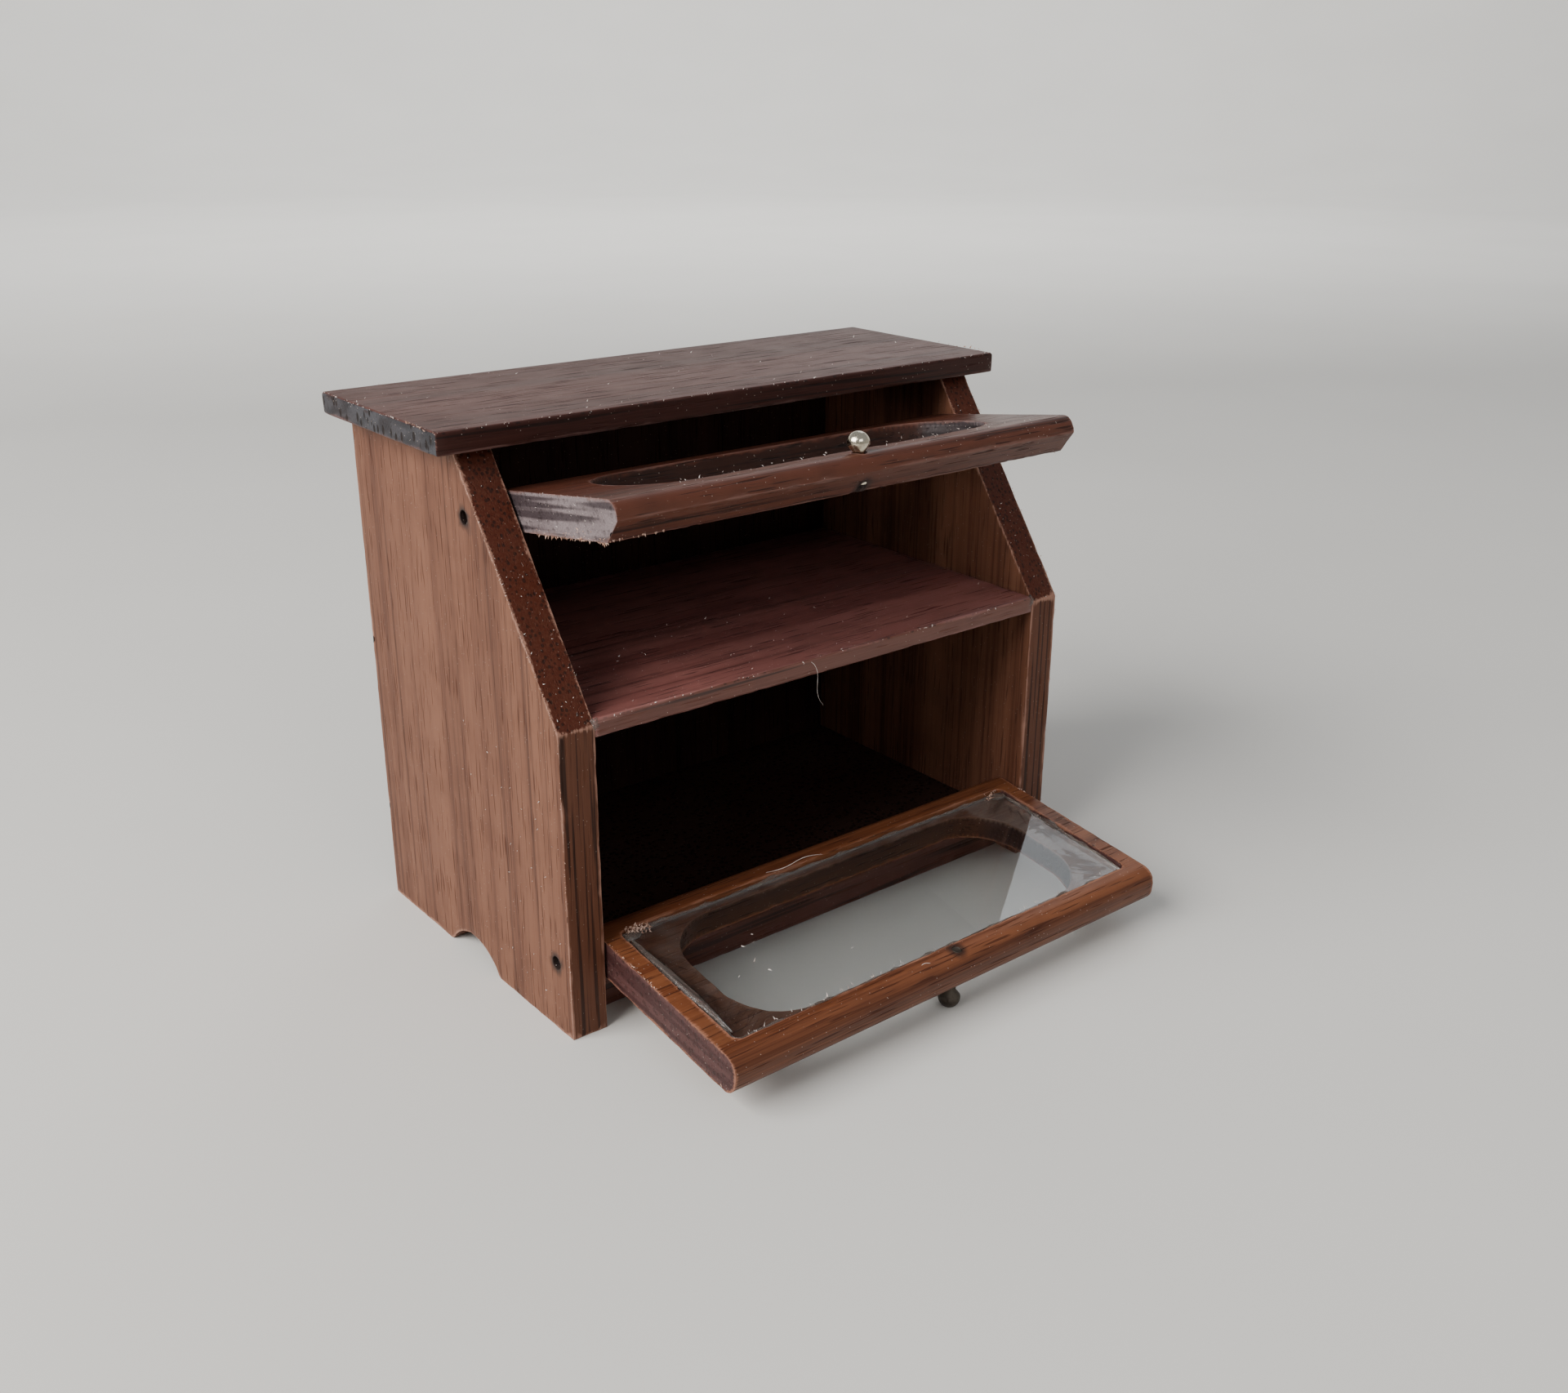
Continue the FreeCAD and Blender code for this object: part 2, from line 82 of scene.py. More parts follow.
camera_data = bpy.data.cameras.new("camera")
camera_data.lens = LENS
camera_data.sensor_width = 36
camera_data.clip_start = 1 * MM
camera_data.clip_end = 20
camera = bpy.data.objects.new("camera", camera_data)
turn = Matrix.Rotation(math.radians(CAMERA_HEADING), 4, "Z")
tilt = Matrix.Rotation(math.radians(90 + CAMERA_PITCH), 4, "X")
roll = Matrix.Rotation(math.radians(CAMERA_ROLL), 4, "Z")
camera.matrix_world = Matrix.Translation(CAMERA_PLACE) @ turn @ tilt @ roll
bpy.context.scene.collection.objects.link(camera)
bpy.context.scene.camera = camera
print("camera at", [round(v / MM, 1) for v in CAMERA_PLACE], "mm")

# %% [markdown]
# The light is a broad window high on the left, which makes the left side pale and drops a soft
# shadow to the right, a smaller window far behind on the right, which only shows as a bright
# patch in the glass, and a weak pale sky for what is left. Area lamps give soft edges.

# %% Lights
def window_light(name, place, aim, size, power, tint):
    """A rectangular lamp that faces a point, hidden from the camera itself."""
    lamp = bpy.data.lights.new(name, "AREA")
    lamp.shape = "RECTANGLE"
    lamp.size, lamp.size_y = size
    lamp.energy = power
    lamp.color = tint
    obj = bpy.data.objects.new(name, lamp)
    obj.location = place
    obj.rotation_euler = (Vector(aim) - Vector(place)).to_track_quat("-Z", "Y").to_euler()
    obj.visible_camera = False
    bpy.context.scene.collection.objects.link(obj)
    return obj


CASE_MIDDLE = (0, 0, 0.02)
LAMPS = [
    ("left_window", (-0.42, 0.02, 0.32), CASE_MIDDLE, (0.42, 0.30), 4.6, (1.0, 0.97, 0.94)),
    ("front_fill", (-0.10, -0.48, 0.34), CASE_MIDDLE, (0.30, 0.16), 0.55, (1.0, 0.98, 0.96)),
    ("far_window", (0.46, 0.36, 0.42), CASE_MIDDLE, (0.24, 0.34), 0.32, (0.92, 0.96, 1.0)),
    ("wall_wash", (0.20, 0.28, 0.50), (0.62, 1.10, 0.22), (0.50, 0.20), 7.0, (1.0, 0.99, 0.98)),
]
for lamp_settings in LAMPS:
    window_light(*lamp_settings)

world = bpy.data.worlds.new("pale_room")
world.use_nodes = True
sky = world.node_tree.nodes["Background"].inputs
sky["Color"].default_value = (0.88, 0.90, 0.93, 1)
sky["Strength"].default_value = 0.40
bpy.context.scene.world = world
print("lamps:", ", ".join(lamp[0] for lamp in LAMPS))

# %% [markdown]
# ## Writing node trees as sums
#
# A node tree is easier to read as arithmetic. `Value` wraps one output socket and overloads the
# operators, so `1 - mask * 0.4` adds its own Math nodes. `Tree` has one method, `node`, for any
# other node, and `Finish` is the tree of a material.

# %% Node arithmetic
class Value:
    """One output of a node that can be used in sums."""

    def __init__(self, owner, socket):
        self.owner = owner
        self.socket = socket

    def _sum(self, operation, other, swapped=False):
        pair = (other, self) if swapped else (self, other)
        return self.owner.node("ShaderNodeMath", {"operation": operation}, {0: pair[0], 1: pair[1]})

    def __add__(self, other):
        return self._sum("ADD", other)

    def __sub__(self, other):
        return self._sum("SUBTRACT", other)

    def __rsub__(self, other):
        return self._sum("SUBTRACT", other, swapped=True)

    def __mul__(self, other):
        return self._sum("MULTIPLY", other)

    def __or__(self, other):
        """The larger of two masks."""
        return self._sum("MAXIMUM", other)

    __radd__ = __add__
    __rmul__ = __mul__


class Tree:
    """A node tree that is built by calls."""

    def __init__(self, tree):
        self.tree = tree

    def node(self, kind, settings=None, inputs=None, out=0):
        """Any node: its settings first, then values or links for its sockets."""
        made = self.tree.nodes.new(kind)
        for key, setting in (settings or {}).items():
            setattr(made, key, setting)
        for key, value in (inputs or {}).items():
            self.feed(made, key, value)
        if isinstance(out, str):
            out = next(i for i, s in enumerate(made.outputs) if out in (s.identifier, s.name))
        return Value(self, made.outputs[out])

    def feed(self, node, key, value):
        """Give one socket, found by number, identifier or name, a value or a link."""
        if isinstance(key, str):
            key = next(i for i, s in enumerate(node.inputs) if key in (s.identifier, s.name))
        socket = node.inputs[key]
        if isinstance(value, Value):
            self.tree.links.new(value.socket, socket)
            return
        if socket.type == "RGBA" and len(value) == 3:
            value = (*value, 1)
        socket.default_value = value


# %% [markdown]
# A finish starts from the Principled shader and the place on the object, in metres.

# %% Material trees
class Finish(Tree):
    """A material and its node tree."""

    def __init__(self, name):
        self.material = bpy.data.materials.new(name)
        self.material.use_nodes = True
        super().__init__(self.material.node_tree)
        self.shader = self.tree.nodes["Principled BSDF"]
        self.place = self.node("ShaderNodeTexCoord", out="Object")

    def set(self, **inputs):
        """Sockets of the main shader, written with _ for a space."""
        for key, value in inputs.items():
            self.feed(self.shader, key.replace("_", " "), value)

    def mix(self, factor, first, second):
        """A colour between two colours."""
        return self.node(
            "ShaderNodeMix", {"data_type": "RGBA"},
            {"Factor_Float": factor, "A_Color": first, "B_Color": second}, "Result_Color",
        )

    def step(self, value, low, high):
        """A smooth mask that rises from 0 at low to 1 at high, or falls where low is larger."""
        start, end = (low, high) if low < high else (high, low)
        rise = self.node(
            "ShaderNodeMapRange", {"interpolation_type": "SMOOTHSTEP"},
            {"Value": value, "From Min": start, "From Max": end},
        )
        return rise if low < high else 1 - rise

    def stretched(self, per_mm, offset=(0, 0, 0), tilt=0.0):
        """The place on the object, tilted about X, at so many units to the millimetre."""
        place = self.place
        if tilt:
            place = self.node("ShaderNodeMapping", {}, {"Vector": place, "Rotation": (tilt, 0, 0)})
        scale = tuple(amount / MM for amount in per_mm)
        return self.node("ShaderNodeMapping", {}, {"Vector": place, "Scale": scale, "Location": offset})

    def cloud(self, per_mm, offset=(0, 0, 0), detail=2.0, rough=0.5, warp=0.0, tilt=0.0):
        """Noise from 0 to 1 at a scale for each axis."""
        return self.node(
            "ShaderNodeTexNoise", {"noise_dimensions": "3D"},
            {
                "Vector": self.stretched(per_mm, offset, tilt), "Scale": 1.0, "Detail": detail,
                "Roughness": rough, "Distortion": warp,
            },
        )

    def cells(self, per_mm, offset=(0, 0, 0)):
        """Distance to the nearest of some scattered points."""
        return self.node(
            "ShaderNodeTexVoronoi", {"feature": "F1"},
            {"Vector": self.stretched(per_mm, offset), "Scale": 1.0, "Randomness": 1.0},
            "Distance",
        )

    def bump(self, height, depth):
        """Surface relief, depth in metres from height 0 to height 1."""
        relief = self.node(
            "ShaderNodeBump", {}, {"Strength": 1.0, "Distance": depth, "Height": height}, "Normal",
        )
        self.set(Normal=relief)


print("material tools ready")

# %% [markdown]
# ## The wood
#
# Every board is cut from the same open-pored dark wood, stained and wiped with thin varnish.
# Noise squeezed across the grain and pulled out along it gives the streaks. Five layers are needed:
# broad and slow bands of colour, narrow lines, fibres, and short dark pores. Where a face looks along
# the grain the same wood shows pits and growth lines instead, and that is picked by the surface normal.
# Front edges drank more stain than the faces and get less light, so a face that looks forward has a
# darker colour of its own, partly stain and partly painted shade. The pieces carry three attributes:
# `arris` is 1 on an edge and fades away from it, and wears the stain off in patches; the painted shade
# attribute darkens the holes of the hinge pins and the window walls under the glass, and rings each
# knob shank; `milk` is the dried glue and torn fuzz on the ledges under the glass.

# %% Wood finish
def axis_scale(grain, along, across):
    """A scale for each axis, with its own value along the grain."""
    return tuple(along if axis == grain else across for axis in range(3))


def normal_part(f, axis):
    """One part of the surface normal, signed."""
    facing = f.node("ShaderNodeTexCoord", out="Normal")
    return f.node("ShaderNodeSeparateXYZ", {}, {0: facing}, axis)


def grain_face(f, grain, shift, dark, tone, light, lines):
    """Colour of a face that the grain runs along, with its pore mask and its fibre height."""
    bands = f.cloud(axis_scale(grain, 0.010, 0.42), shift, detail=3, rough=0.5, warp=0.25)
    narrow = f.cloud(axis_scale(grain, 0.014, 1.9), shift, detail=3, rough=0.65)
    fibres = f.cloud(axis_scale(grain, 0.09, 8.5), shift, detail=2, rough=0.6)
    pores = f.cloud(axis_scale(grain, 0.30, 6.5), shift, detail=1, rough=0.4)
    pore_mask = f.step(pores, 0.60, 0.70)
    face = f.mix(f.step(bands, 0.34, 0.66), tone, light)
    broad = f.cloud(axis_scale(grain, 0.006, 0.20), shift, detail=1)
    face = f.mix(f.step(broad, 0.52, 0.36) * 0.62, face, dark)
    face = f.mix(f.step(narrow, 0.40, 0.66) * 0.55, face, light)
    face = f.mix(f.step(narrow, 0.47, 0.28) * lines, face, dark)
    face = f.mix(f.step(fibres, 0.38, 0.72) * 0.35, face, light)
    return f.mix(pore_mask * 0.7, face, dark), pore_mask, fibres


def pane_tilt(door):
    """How far a door's pane is tipped about X from level, so that its end stripes follow it."""
    pane = frame["nodes"][f"{door}_door_pane"].data
    normal = max(pane.polygons, key=lambda face: face.area).normal
    return math.atan(normal.y / normal.z)


def end_face(f, rings, pit_scale, shift, dark, end, pale, fibres, pitting, tilt):
    """Colour of a face that the grain runs into, with its pit mask."""
    growth = f.cloud(rings, shift, detail=1, rough=0.4, warp=0.15, tilt=tilt)
    colour = f.mix(f.step(growth, 0.38, 0.58), end, pale)
    colour = f.mix(f.step(growth, 0.66, 0.76) * 0.7, colour, dark)
    colour = f.mix(f.step(fibres, 0.35, 0.7) * 0.3, colour, dark)
    pit_mask = f.step(f.cells(pit_scale, shift), 0.40, 0.24)
    return f.mix(pit_mask * pitting, colour, tuple(c * 0.25 for c in dark)), pit_mask


def wood(
    name, grain, dark, tone, light, end, seed, pale_end=None, rings=(0.05, 0.10, 2.3), front_stain_and_shade=None,
    upright_front_stain_and_shade=None, pit_scale=(2.4, 2.4, 2.0), tilt=0.0, wear=0.5, lines=0.5, dust=0.3,
    gloss=0.42, pitting=0.8, coat=0.2, shine=0.45,
):
    """Stained open-pored wood. grain is 0, 1 or 2 for a board that runs along X, Y or Z.

    The front colour goes on faces that look forward, and the upright front colour on those of them that
    stand upright; both are partly stain and partly painted shade. tilt turns the growth lines of a
    door's ends so that they follow the door.
    """
    f = Finish(name)
    shift = (seed * 3.1, seed * 5.7, seed * 1.3)
    face, pore_mask, fibres = grain_face(f, grain, shift, dark, tone, light, lines)
    ends, pit_mask = end_face(
        f, rings, pit_scale, shift, dark, end, pale_end or light, fibres, pitting, tilt,
    )
    along = f.node("ShaderNodeMath", {"operation": "ABSOLUTE"}, {0: normal_part(f, grain)})
    end_grain = f.step(along, 0.62, 0.86)
    colour = f.mix(end_grain, face, ends)
    # Painted shade, partly stain: forward faces, the slopes most of all, get a darker colour of their
    # own.
    if front_stain_and_shade:
        forward = f.step(normal_part(f, 1), -0.35, -0.62)
        upright = f.step(normal_part(f, 2), 0.30, 0.12)
        stained_and_shaded = f.mix(upright, front_stain_and_shade, upright_front_stain_and_shade or front_stain_and_shade)
        stained_and_shaded = f.mix(f.step(fibres, 0.4, 0.75) * 0.18, stained_and_shaded, light)
        black = tuple(c * 0.12 for c in front_stain_and_shade)
        stained_and_shaded = f.mix(pit_mask * (1 - upright) * 0.75, stained_and_shaded, black)
        cracks = f.cloud(axis_scale(grain, 0.06, 3.4), shift, detail=1, rough=0.3)
        stained_and_shaded = f.mix(f.step(cracks, 0.45, 0.37) * upright * 0.8, stained_and_shaded, black)
        colour = f.mix(forward * 0.96, colour, stained_and_shaded)

    patches = f.cloud((0.30, 0.30, 0.30), shift, detail=3, rough=0.6)
    colour = f.mix(f.step(patches, 0.42, 0.72) * 0.22, colour, dark)
    arris = f.node("ShaderNodeAttribute", {"attribute_name": "arris"}, out="Fac")
    worn = f.step(arris + (patches - 0.5) * 0.9 + (fibres - 0.5) * 0.6, 0.74, 1.02) * wear
    colour = f.mix(worn, colour, tuple(min(1, c * 1.5 + 0.06) for c in light))
    milk = f.node("ShaderNodeAttribute", {"attribute_name": "milk"}, out="Fac")
    milk = milk * (0.55 + fibres * 0.7)
    colour = f.mix(milk, colour, (0.34, 0.25, 0.215))
    painted_shade_and_ring = f.node("ShaderNodeAttribute", {"attribute_name": "painted_shade_and_ring"}, out="Fac")
    # Painted shade: the marked pin holes and window walls, and the knob rings, go near black.
    colour = f.mix(painted_shade_and_ring * 0.9, colour, (0.006, 0.005, 0.005))
    specks = f.step(f.cells((2.6, 2.6, 2.6), shift), 0.10, 0.06) * dust
    colour = f.mix(specks, colour, (0.72, 0.62, 0.54))

    rough = gloss + pore_mask * 0.2 + end_grain * 0.15 + worn * 0.15 + (patches - 0.5) * 0.16
    height = fibres * 0.25 - pore_mask * 0.6 * (1 - end_grain) - pit_mask * end_grain + specks * 0.8
    f.set(
        Base_Color=colour, Roughness=rough, Coat_Weight=(1 - pore_mask) * (1 - worn) * coat,
    )
    f.set(Coat_Roughness=0.28, Specular_IOR_Level=shine)
    f.bump(height, 0.04 * MM)
    return f.material


# The front colours of the sides and the top are partly stain and partly painted shade.
WOODS = {
    "side": wood(
        "side_walnut", 2, (0.056, 0.020, 0.0115), (0.098, 0.037, 0.0205), (0.176, 0.075, 0.043),
        (0.10, 0.04, 0.02), seed=1, rings=(0.3, 0.3, 0.3), pit_scale=(3.0, 3.0, 2.3),
        front_stain_and_shade=(0.058, 0.0098, 0.0031), upright_front_stain_and_shade=(0.098, 0.034, 0.017), lines=0.9, dust=0.2,
        wear=0.9, coat=0.04, gloss=0.55, shine=0.2,
    ),
    "top": wood(
        "top_walnut", 0, (0.020, 0.006, 0.0045), (0.052, 0.016, 0.012), (0.094, 0.033, 0.025),
        (0.023, 0.024, 0.028), seed=2, pale_end=(0.048, 0.049, 0.056),
        front_stain_and_shade=(0.028, 0.0056, 0.0030), upright_front_stain_and_shade=(0.028, 0.0056, 0.0030),
        rings=(0.05, 0.5, 1.2), pit_scale=(2.0, 1.9, 1.0), dust=0.4, gloss=0.46, coat=0.03,
        wear=0.45, shine=0.24, pitting=1.0,
    ),
    "shelf": wood(
        "shelf_walnut", 0, (0.032, 0.010, 0.009), (0.136, 0.043, 0.038), (0.214, 0.080, 0.069),
        (0.08, 0.03, 0.022), seed=3, front_stain_and_shade=(0.115, 0.040, 0.026), lines=0.6, dust=0.4, wear=0.35,
        shine=0.35,
    ),
    # The back and bottom boards are near black, partly dark stain and partly painted shade for the
    # inside of the case.
    "back": wood(
        "back_walnut", 2, (0.006, 0.003, 0.002), (0.016, 0.006, 0.005), (0.026, 0.010, 0.007),
        (0.03, 0.014, 0.01), seed=4, dust=0.1, gloss=0.75, coat=0.0, shine=0.08,
    ),
    "upper": wood(
        "upper_door_walnut", 0, (0.010, 0.003, 0.002), (0.040, 0.0095, 0.0055), (0.096, 0.030, 0.017),
        (0.052, 0.038, 0.042), seed=5, pale_end=(0.205, 0.165, 0.170), lines=1.0, dust=0.4,
        tilt=pane_tilt("upper"), pitting=0.2, wear=0.55, coat=0.1, shine=0.24,
    ),
    "lower": wood(
        "lower_door_walnut", 0, (0.038, 0.010, 0.005), (0.108, 0.031, 0.013), (0.205, 0.073, 0.031),
        (0.042, 0.016, 0.016), seed=6, pale_end=(0.074, 0.032, 0.031), lines=0.65, dust=0.4,
        tilt=pane_tilt("lower"), pitting=0.3, wear=0.6, shine=0.2, coat=0.1,
    ),
}
print("wood finishes:", ", ".join(WOODS))

# %% [markdown]
# ## Working in a door's own directions
#
# The doors stand open at odd angles, and everything on them is easier to place from the hinge:
# so far along it, so far towards the nose, so far up from the middle of the board. The hinge
# comes from the joint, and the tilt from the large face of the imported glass.

# %% Door axes
class Door:
    """The hinge of a door and its own directions: along the hinge, to the nose, and upward."""

    def __init__(self, name):
        self.name = name
        self.body = f"{name}_door"
        self.slot = f"{name}_door_wood"
        joint = next(j for j in frame["joints"] if j["child"] == self.body)
        self.hinge = Vector(joint["pos_m"])
        glass = frame["nodes"][f"{name}_door_pane"].data
        normal = max(glass.polygons, key=lambda face: face.area).normal
        self.up = normal * (1 if normal.z > 0 else -1)
        self.nose = Vector((1, 0, 0)).cross(self.up)
        if self.nose.y > 0:
            self.nose = -self.nose
        self.glass = self.span("pane")
        self.wood = self.span("frame")
        self.inner = 1 if name == "lower" else -1

    def local(self, point):
        """A point's place along the hinge, towards the nose and upward, in mm."""
        away = point - self.hinge
        return Vector((point.x, away.dot(self.nose), away.dot(self.up))) / MM

    def world(self, x, out, up):
        """The point at a place given in mm."""
        return self.hinge + self.way(x, out, up) * MM

    def way(self, x, out, up):
        """A direction given by its three parts."""
        return Vector((x, 0, 0)) + self.nose * out + self.up * up

    def span(self, part):
        """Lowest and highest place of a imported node, in mm."""
        places = [self.local(v.co) for v in frame["nodes"][f"{self.body}_{part}"].data.vertices]
        return [Vector(pick(p[i] for p in places) for i in range(3)) for pick in (min, max)]

    def knob(self):
        """How far the knob stands from the hinge, in mm."""
        low, high = self.span("knob")
        return (low[1] + high[1]) / 2


DOOR = {name: Door(name) for name in DOORS}
for door in DOOR.values():
    print(door.body, "tilt", round(math.degrees(math.asin(door.nose.z)), 1), "degrees, glass", [
        [round(v, 2) for v in corner] for corner in door.glass
    ])

# %% [markdown]
# ## Boards with worn edges
#
# A packed board is a loose set of triangles with knife-sharp edges. A refined copy is merged,
# its arrises are rounded with a small bevel, and long edges are halved until the mesh is even.
# Then each vertex knows how far it is from an arris, and noise along the arris sinks it a little, the
# way a real edge is nicked and rubbed. Marks that belong to a place, such as the painted shade in the
# hole round a pin, are marked on the vertices too.

# %% Refined copies of the boards
ARRIS_ANGLE = math.radians(35)
SMOOTH_ANGLE = math.radians(26)
FLAT_ANGLE = math.radians(0.5)
ARRIS_REACH = 0.7


def new_piece(name, mesh, body, material=None):
    """Link a finished mesh, give it its material and let it ride on its body."""
    obj = bpy.data.objects.new(name, mesh)
    bpy.context.scene.collection.objects.link(obj)
    if material:
        mesh.materials.clear()
        mesh.materials.append(material)
    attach(obj, body)
    return obj


def smooth_mesh(name, bm):
    """Close a bmesh into a smooth-shaded mesh."""
    for face in bm.faces:
        face.smooth = True
    mesh = bpy.data.meshes.new(name)
    bm.to_mesh(mesh)
    bm.free()
    return mesh


def spun(profile, steps, merge):
    """A bmesh spun round Z from radius and height pairs in metres, with its poles closed."""
    bm = bmesh.new()
    verts = [bm.verts.new((radius, 0, height)) for radius, height in profile]
    edges = [bm.edges.new(pair) for pair in zip(verts, verts[1:])]
    bmesh.ops.spin(
        bm, geom=verts + edges, axis=(0, 0, 1), cent=(0, 0, 0), angle=math.tau, steps=steps,
    )
    bmesh.ops.remove_doubles(bm, verts=bm.verts, dist=merge)
    return bm


def merged_mesh(node):
    """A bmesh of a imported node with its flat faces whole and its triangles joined."""
    bm = bmesh.new()
    bm.from_mesh(frame["nodes"][node].data)
    bmesh.ops.remove_doubles(bm, verts=bm.verts, dist=0.002 * MM)
    bmesh.ops.dissolve_limit(
        bm, angle_limit=FLAT_ANGLE, verts=bm.verts, edges=bm.edges, use_dissolve_boundaries=False,
    )
    return bm


def arris_points(edges, spacing):
    """Points along some edges, no further apart than the spacing."""
    points = []
    for edge in edges:
        start, end = (v.co.copy() for v in edge.verts)
        count = max(1, math.ceil((end - start).length / spacing))
        points += [start.lerp(end, i / count) for i in range(count + 1)]
    return points


def split_long_edges(bm, longest):
    """Halve edges until none is longer than longest(edge)."""
    bmesh.ops.triangulate(bm, faces=bm.faces)
    for _ in range(9):
        long_edges = [e for e in bm.edges if e.calc_length() > longest(e)]
        if not long_edges:
            break
        bmesh.ops.subdivide_edges(bm, edges=long_edges, cuts=1)
        bmesh.ops.triangulate(bm, faces=[face for face in bm.faces if len(face.verts) > 3])


def worn_board(
    node, body, material, arris=0.14, longest=0.9, nick=0.07, finer=None, marks=None,
):
    """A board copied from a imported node, with rounded, nicked arrises and marked vertices."""
    bm = merged_mesh(node)
    sharp = [e for e in bm.edges if len(e.link_faces) == 2 and e.calc_face_angle() > ARRIS_ANGLE]
    points = arris_points(sharp, 0.15 * MM)
    tree = kdtree.KDTree(len(points))
    for index, point in enumerate(points):
        tree.insert(point, index)
    tree.balance()

    bmesh.ops.bevel(
        bm, geom=sharp, offset=arris * MM, segments=3, profile=0.5, affect="EDGES",
        clamp_overlap=True,
    )

    def limit(edge):
        middle = (edge.verts[0].co + edge.verts[1].co) / 2
        return ((finer(middle) if finer else None) or longest) * MM

    split_long_edges(bm, limit)
    bm.normal_update()
    layer = bm.verts.layers.float.new("arris")
    marked = {name: bm.verts.layers.float.new(name) for name in (marks or {})}
    for vert in bm.verts:
        distance = tree.find(vert.co)[2] / MM
        near = max(0.0, 1 - distance / ARRIS_REACH)
        vert[layer] = near
        for name, mark in (marks or {}).items():
            vert[marked[name]] = mark(vert.co)
        rub = noise.noise(vert.co / MM * 0.9) + 0.6 * noise.noise(vert.co / MM * 3.1)
        vert.co -= vert.normal * max(0.0, rub) * near * near * nick * MM
    mesh = smooth_mesh(node + "_worn", bm)
    mesh.set_sharp_from_angle(angle=SMOOTH_ANGLE)
    obj = new_piece(node + "_worn", mesh, body, material)
    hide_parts(node)
    print(f"{obj.name}: {len(mesh.polygons)} triangles")
    return obj


# %% [markdown]
# The holes round the hinge wires get painted shade, the knob shanks a dark ring, and the window walls
# under a pane painted shadow. Each mark is a function from a point to a strength, stored on the
# vertices.

# %% Marks and boards
def fade(value, full, none):
    """1 where a value is at or below full, falling to 0 at none."""
    return min(1.0, max(0.0, (none - value) / (none - full)))


def pin_hole_shade(point):
    """Painted shade in the holes of the four hinge wires in the sides."""
    nearest = min((point - door.hinge).yz.length for door in DOOR.values())
    return fade(nearest / MM, 0.48, 0.54)


def door_marks(door):
    """A dark ring round the knob's shank, painted shadow on the window walls, and milk on the ledges.
    """
    low, high = door.glass
    ledge = low.z if door.inner > 0 else high.z
    outer = door.wood[0].z if door.inner > 0 else door.wood[1].z
    knob = door.knob()

    def painted_shade_and_ring(point):
        x, out, up = door.local(point)
        ring = 0.9 * fade(math.hypot(x, out - knob), 0.42, 0.85) if up * door.inner > 0 else 0.0
        # The window walls under the glass get painted shadow.
        within = low.x + 0.5 < x < high.x - 0.5 and low.y < out < high.y
        under_glass = (ledge - up) * door.inner
        if within and -0.05 < under_glass < abs(outer - ledge) - 0.15:
            return 0.75 if under_glass > 0.1 else 0.3
        return ring

    def milk(point):
        x, out, up = door.local(point)
        inside = low.x < x < high.x and low.y < out < high.y and abs(up - ledge) < 0.12
        return (0.9 if x > 13.5 else 0.35 + 0.3 * noise.noise(point / MM * 0.8)) if inside else 0.0

    return {"painted_shade_and_ring": painted_shade_and_ring, "milk": milk}


def near_knob(door):
    """Short edges close to the shank, so that its dark ring is round."""
    knob = door.knob()

    def longest(point):
        x, out, _ = door.local(point)
        return 0.16 if math.hypot(x, out - knob) < 1.1 else None

    return longest


CASE_BOARDS = [
    ("side_left", "side_wood", "side"),
    ("side_right", "side_wood", "side"),
    ("top_board", "top_wood", "top"),
    ("shelf", "shelf_wood", "shelf"),
    ("back_panel", "back_wood", "back"),
    ("bottom_board", "back_wood", "back"),
    ("kick_rail", "shelf_wood", "shelf"),
]
for board, board_slot, wood_name in CASE_BOARDS:
    side_marks = {"painted_shade_and_ring": pin_hole_shade} if wood_name == "side" else None
    worn_board(board, "case", WOODS[wood_name], marks=side_marks)
for door in DOOR.values():
    worn_board(
        f"{door.body}_frame", door.body, WOODS[door.name],
        arris=0.1, longest=0.5, nick=0.09, finer=near_knob(door), marks=door_marks(door),
    )

# %% [markdown]
# ## Glass
#
# The panes are offcuts of thin clear sheet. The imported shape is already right, so only the
# finish is new: clear, with a slight greyish tint and faint smears that vary the roughness. The
# cut edges are ground by the cutter, so faces that don't look up or down are rough and grey.

# %% Glass finish
def clear_glass():
    f = Finish("clear_glass")
    smears = f.cloud((0.12, 0.4, 0.4), detail=3, rough=0.6, warp=0.6)
    level = f.node("ShaderNodeMath", {"operation": "ABSOLUTE"}, {0: normal_part(f, 2)})
    cut_edge = f.step(level, 0.75, 0.45)
    f.set(
        Base_Color=f.mix(cut_edge, (0.93, 0.95, 0.95), (0.62, 0.66, 0.66)),
        Roughness=f.step(smears, 0.5, 0.8) * 0.07 + cut_edge * 0.35,
    )
    f.set(IOR=1.45, Transmission_Weight=1.0)
    return f.material


GLASS = clear_glass()
for door in DOOR.values():
    pane = frame["nodes"][f"{door.body}_pane"]
    pane.data.materials.clear()
    pane.data.materials.append(GLASS)
print("panes glazed")

# %% [markdown]
# ## Growing small things with Geometry Nodes
#
# The glue round the glass follows a path, and torn fibres and lint follow edges and faces, so
# both are grown by Geometry Nodes. `Growth` is a tree with named inputs. `grown` runs a tree on
# a mesh and gives back a plain mesh, so that no modifier is left on the piece.

